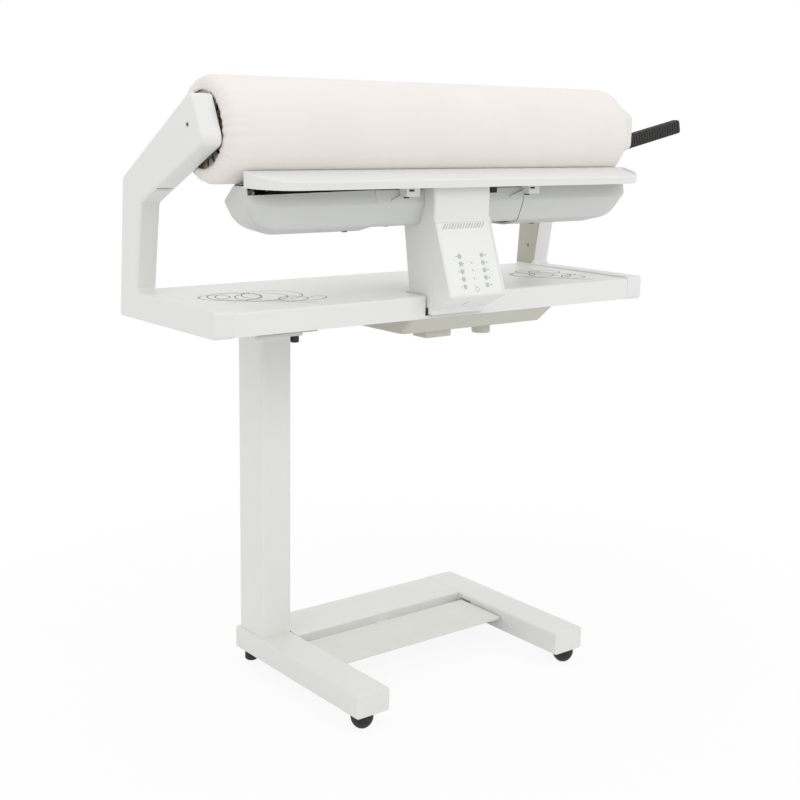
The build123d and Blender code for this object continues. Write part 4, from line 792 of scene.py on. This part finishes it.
# %% Screws
casing_screws = [
    ("casing_screw_1", "left_casing", (-0.480, -0.0737, 1.0186)),
    ("casing_screw_2", "left_casing", (-0.460, 0.0661, 0.9020)),
    ("casing_screw_3", "right_casing", (0.4395, 0.1352, 0.7801)),
]
cover_screws = [
    ("cover_screw_1", "left_shoe_cover", (-0.195, -0.085, 0.840)),
    ("cover_screw_2", "centre_shoe_cover", (-0.105, -0.080, 0.840)),
    ("cover_screw_3", "right_shoe_cover", (0.235, -0.085, 0.840)),
]
for name, node, place in casing_screws:
    screw(name, node, from_middle(*place), radius=3 * MM, body="frame")
for name, node, place in cover_screws:
    screw(name, node, from_middle(*place), radius=5 * MM, body="swing_head")

# %% [markdown]
# ## Lips of the shoe covers
# A thin lip stands along the front of each outer cover and round its outer end, where it falls
# towards the rear. Rays sent against the cover find its curved outline, which saves measuring it.
# The found points are joined to a line, and the line is extruded up to the lip's height and given
# its wall.

# %% Finding a surface
ahead, beside = -0.3, 0.6  # rays start here, well clear of the head


def surface(node, start, direction):
    """Where a ray first meets a CAD piece."""
    _, spot, _, _ = nodes[node].ray_cast(Vector(start), Vector(direction))
    return spot


def only(kind, geometry):
    """The items of one kind, such as vertices, in what an operator gives back."""
    return [item for item in geometry if isinstance(item, kind)]


# %% Cover lips
lip_proud, lip_wall = 0.3 * MM, 2 * MM
front_z, front_lean, front_steps = 0.9045, 3 * MM, 24
end_gap, end_lean = 6 * MM, 0.01
# Along the end: how far to the rear, and where the lip starts and ends in height.
end_points = [
    (-0.118, 0.9, 0.927), (-0.095, 0.9, 0.926), (-0.072, 0.9, 0.925), (-0.05, 0.9, 0.9244),
    (-0.03, 0.9, 0.9142), (-0.012, 0.897, 0.9051), (-0.001, 0.8945, 0.8995),
]


def cover_lip(name, node, inner_x, outer_x, inner_top, outer_top):
    """The lip along the front of a cover, from inner to outer x, and round its outer end."""
    side = 1 if outer_x > inner_x else -1
    lower, upper = [], []
    for step in range(front_steps + 1):
        x = inner_x + (outer_x - side * end_gap - inner_x) * step / front_steps
        rise = inner_top + (outer_top - inner_top) * step / front_steps - front_z
        spot = surface(node, from_middle(x, ahead, front_z), (0, 1, 0))
        lower.append(spot + Vector((0, -lip_proud, 0)))
        upper.append(spot + Vector((0, front_lean, rise)))
    for y, low_z, top_z in end_points:
        spot = surface(node, from_middle(side * beside, y, low_z), (-side, 0, 0))
        lower.append(spot + Vector((side * lip_proud, 0, 0)))
        inwards = (top_z - low_z) * end_lean
        upper.append(Vector((spot.x + side * (lip_proud - inwards), y, top_z)))
    shape = bmesh.new()
    chain = [shape.verts.new(spot) for spot in lower]
    edges = [shape.edges.new(pair) for pair in zip(chain, chain[1:])]
    drawn = bmesh.ops.extrude_edge_only(shape, edges=edges)["geom"]
    for top in only(bmesh.types.BMVert, drawn):
        nearest = min(range(len(lower)), key=lambda index: (top.co - lower[index]).length)
        top.co = upper[nearest]
    bmesh.ops.recalc_face_normals(shape, faces=shape.faces)
    facing = sum((face.normal.y for face in shape.faces if abs(face.normal.y) > 0.8), 0.0)
    thickness = lip_wall if facing < 0 else -lip_wall
    bmesh.ops.solidify(shape, geom=list(shape.faces), thickness=thickness)
    new_piece(shape, name, "swing_head", cover_abs_painted_shade)


cover_lip(
    "left_cover_lip", "left_shoe_cover",
    inner_x=-0.1655, outer_x=-0.412, inner_top=0.9180, outer_top=0.9135,
)
cover_lip(
    "right_cover_lip", "right_shoe_cover",
    inner_x=0.1655, outer_x=0.443, inner_top=0.9215, outer_top=0.9205,
)

# %% [markdown]
# ## Small parts on the covers
# The square hole beside the column and the slots above and below the board's brackets are dark
# with shade, and a thin arm runs up to each bracket from the cover's wall. Holes cut in the covers
# would look no different at this size, so that shade is painted: thin bevelled black blocks stand
# a little proud where the hole and the slots are.

# %% Painted shade in the hole and the slots
block_proud, block_sunk, block_rim = 0.6 * MM, 1.4 * MM, 0.3 * MM


def on_front(shape, node, x, z, width, height):
    """Adds a thin block with bevelled edges, on the front of a CAD piece, to a bmesh."""
    y = surface(node, from_middle(x, ahead, z), (0, 1, 0)).y
    low = from_middle(x - width / 2, y - block_proud, z - height / 2)
    high = from_middle(x + width / 2, y + block_sunk, z + height / 2)
    made = bmesh.ops.create_cube(shape, size=1.0)["verts"]
    bmesh.ops.scale(shape, vec=high - low, verts=made)
    bmesh.ops.translate(shape, vec=(low + high) / 2, verts=made)
    edges = list({edge for vert in made for edge in vert.link_edges})
    bmesh.ops.bevel(
        shape, geom=edges, offset=block_rim, segments=2, profile=0.5, affect="EDGES",
        material=-1,
    )


# A black block is painted shade in the square hole beside the column.
hole_shade = bmesh.new()
on_front(hole_shade, "centre_shoe_cover", 0.0955, 0.9125, width=15 * MM, height=10.5 * MM)
new_piece(hole_shade, "square_hole_painted_shade", "swing_head", glide_rubber)
# Black blocks are painted shade in the slots above and below the board's brackets.
slot_shades = bmesh.new()
on_front(slot_shades, "feed_board_brackets", -0.1045, 0.9172, width=10.5 * MM, height=3.4 * MM)
on_front(slot_shades, "feed_board_brackets", 0.1715, 0.9174, width=10.5 * MM, height=3.4 * MM)
on_front(slot_shades, "centre_shoe_cover", -0.1015, 0.9052, width=11.5 * MM, height=3.8 * MM)
on_front(slot_shades, "right_shoe_cover", 0.1755, 0.9052, width=12.5 * MM, height=3.8 * MM)
new_piece(slot_shades, "bracket_slot_painted_shade", "swing_head", black_nylon)

# %% Bracket arms
arm_radius = 1.6 * MM
arm_ends = [
    ((-0.134, -0.1335, 0.9005), (-0.113, -0.1345, 0.9085)),
    ((0.132, -0.1335, 0.9015), (0.163, -0.1345, 0.9115)),
]
arms = bmesh.new()
for start, end in arm_ends:
    here, there = from_middle(*start), from_middle(*end)
    made = bmesh.ops.create_cone(
        arms, cap_ends=True, segments=12, radius1=arm_radius, radius2=arm_radius,
        depth=(there - here).length,
    )["verts"]
    lay = (there - here).to_track_quat("Z", "Y").to_matrix().to_4x4()
    lay.translation = (here + there) / 2
    bmesh.ops.transform(arms, matrix=lay, verts=made)
new_piece(arms, "bracket_arms", "swing_head", cover_abs_painted_shade)

# %% [markdown]
# ## Joint line and painted shade on the post
# Where two covers meet, a dark joint shows. The right post's inner side lies in shade, and a thin
# grey sheet on it paints that shade. Both follow a CAD piece exactly, and a shape built anew would
# only come near it. So each starts as a copy of that piece's mesh, cut down to the part that is
# wanted.

# %% Copying and cutting
def copy_of(node):
    """A merged copy of a CAD piece's mesh."""
    shape = bmesh.new()
    shape.from_mesh(nodes[node].data)
    bmesh.ops.remove_doubles(shape, verts=shape.verts, dist=merge_distance)
    return shape


def cut(shape, point, facing, keep):
    """Cuts a shape by a plane, keeps what lies in front of it or behind, and gives the rim."""
    everything = shape.verts[:] + shape.edges[:] + shape.faces[:]
    made = bmesh.ops.bisect_plane(
        shape, geom=everything, plane_co=point, plane_no=facing,
        clear_outer=keep == "behind", clear_inner=keep == "front",
    )
    return only(bmesh.types.BMEdge, made["geom_cut"])


def drop_faces(shape, unwanted):
    """Deletes the faces for which a test holds."""
    faces = [face for face in shape.faces if unwanted(face, face.calc_center_median())]
    bmesh.ops.delete(shape, geom=faces, context="FACES")


def join_flat_faces(shape):
    """Joins the triangles of flat regions to single faces."""
    bmesh.ops.dissolve_limit(
        shape, angle_limit=math.radians(1), verts=shape.verts[:], edges=shape.edges[:],
    )


# %% Joint line
# The joint is a strip 1.3 millimetres wide round the outside of the cover's inner end.
joint_rubber, shader = finish("dark_joint", "#4C4C4A", roughness=0.7)
cloudy(joint_rubber, shader, "#525250", "#434341", size_mm=8)
joint_width, joint_top = 1.3 * MM, 0.9115
joint_proud, joint_thickness = 0.2 * MM, 0.4 * MM
cover_middle = Vector((-0.061, 0.9))
joint = copy_of("right_shoe_cover")
joint_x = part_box("right_shoe_cover")[0][0]
cut(joint, (joint_x + joint_width, 0, 0), (1, 0, 0), keep="behind")
drop_faces(joint, lambda face, middle: abs(face.normal.x) > 0.5 or middle.z > joint_top)
drop_faces(joint, lambda face, middle: face.normal.yz.dot(middle.yz - cover_middle) < 0)
for vert in joint.verts:
    vert.co += vert.normal * joint_proud
bmesh.ops.solidify(joint, geom=joint.faces[:], thickness=joint_thickness)
new_piece(joint, "cover_joint", "swing_head", joint_rubber)

# %% Painted shade on the post
# A thin grey sheet on the post's inner face is painted shade.
shade_sheet_gap, shade_sheet_proud, shade_sheet_thickness = 3.5 * MM, 0.4 * MM, 0.3 * MM
post_shade_sheet = copy_of("right_casing")
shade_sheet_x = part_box("right_casing")[0][0]
drop_faces(post_shade_sheet, lambda face, middle: (
    face.normal.x > -0.99 or middle.x > shade_sheet_x + 0.5 * MM or middle.z < table_top
))
cut(post_shade_sheet, (0, 0, table_top + shade_sheet_gap), (0, 0, 1), keep="front")
bmesh.ops.translate(post_shade_sheet, vec=(-shade_sheet_proud, 0, 0), verts=post_shade_sheet.verts)
join_flat_faces(post_shade_sheet)
loose_edges = [edge for edge in post_shade_sheet.edges if not edge.link_faces]
bmesh.ops.delete(post_shade_sheet, geom=loose_edges, context="EDGES")
bmesh.ops.solidify(post_shade_sheet, geom=post_shade_sheet.faces[:], thickness=shade_sheet_thickness)
new_piece(post_shade_sheet, "post_painted_shade", "frame", paint_for_light_and_shade)

# %% [markdown]
# ## Column collar
# The column's cover reaches up under the board. A block could fill the gap between the two, but
# the cover's own flat rim, copied and extruded upwards, follows its rounded corners.

# %% Collar
def open_edges(shape):
    """How many edges don't have a face on either side."""
    return sum(1 for edge in shape.edges if len(edge.link_faces) != 2)


collar_height = 13 * MM
collar = copy_of("column_cover")
rim_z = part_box("column_cover")[1][2]
drop_faces(collar, lambda face, middle: face.normal.z < 0.9 or middle.z < rim_z - 1 * MM)
join_flat_faces(collar)
raised = bmesh.ops.extrude_face_region(collar, geom=collar.faces[:])["geom"]
raised_verts = only(bmesh.types.BMVert, raised)
bmesh.ops.translate(collar, vec=(0, 0, collar_height), verts=raised_verts)
print("collar open edges:", open_edges(collar))
new_piece(collar, "column_collar", "swing_head", moulded_abs)

# %% [markdown]
# ## Sloping ends
# The outer covers end in a slope that falls towards the rear, and the shoe's own ends follow it a
# little further in. A boolean modifier could take the ends off, but a plane through three points
# cuts a copy of each in one clean step and gives back the rim, which is then closed.

# %% Cutting an end
def cut_end(shape, end_x, side, inset=0.0):
    """Slopes one end of a shape down towards the rear and closes the cut."""
    low_corner = from_middle(end_x - side * 19 * MM, 0.0, 0.899)
    front_tip = from_middle(end_x - side * 8 * MM, -0.050, 0.9244)
    rear_wall = from_middle(end_x - side * 47 * MM, 0.012, 0.925)
    slope = (front_tip - low_corner).cross(rear_wall - low_corner).normalized()
    slope = slope if slope.z > 0 else -slope
    rim = cut(shape, low_corner - slope * inset, slope, keep="behind")
    bmesh.ops.triangle_fill(shape, use_beauty=True, edges=rim)
    print("slope", [round(c, 3) for c in slope], "open edges:", open_edges(shape))


# %% Cover ends
left_end, right_end = -0.392, 0.423
shoe_inset = 6 * MM
left_cut = copy_of("left_shoe_cover")
cut_end(left_cut, left_end, -1)
left_cover = new_piece(left_cut, "left_cover_cut", "swing_head", cover_abs_painted_shade)
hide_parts("left_shoe_cover")
right_cut = copy_of("right_shoe_cover")
cut_end(right_cut, right_end, 1)
right_cover = new_piece(right_cut, "right_cover_cut", "swing_head", cover_abs_painted_shade)
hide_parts("right_shoe_cover")
shoe_cut = copy_of("heated_shoe")
cut_end(shoe_cut, left_end, -1, shoe_inset)
cut_end(shoe_cut, right_end, 1, shoe_inset)
shoe = new_piece(shoe_cut, "shoe_cut", "swing_head", shoe_painted_shade)
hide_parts("heated_shoe")
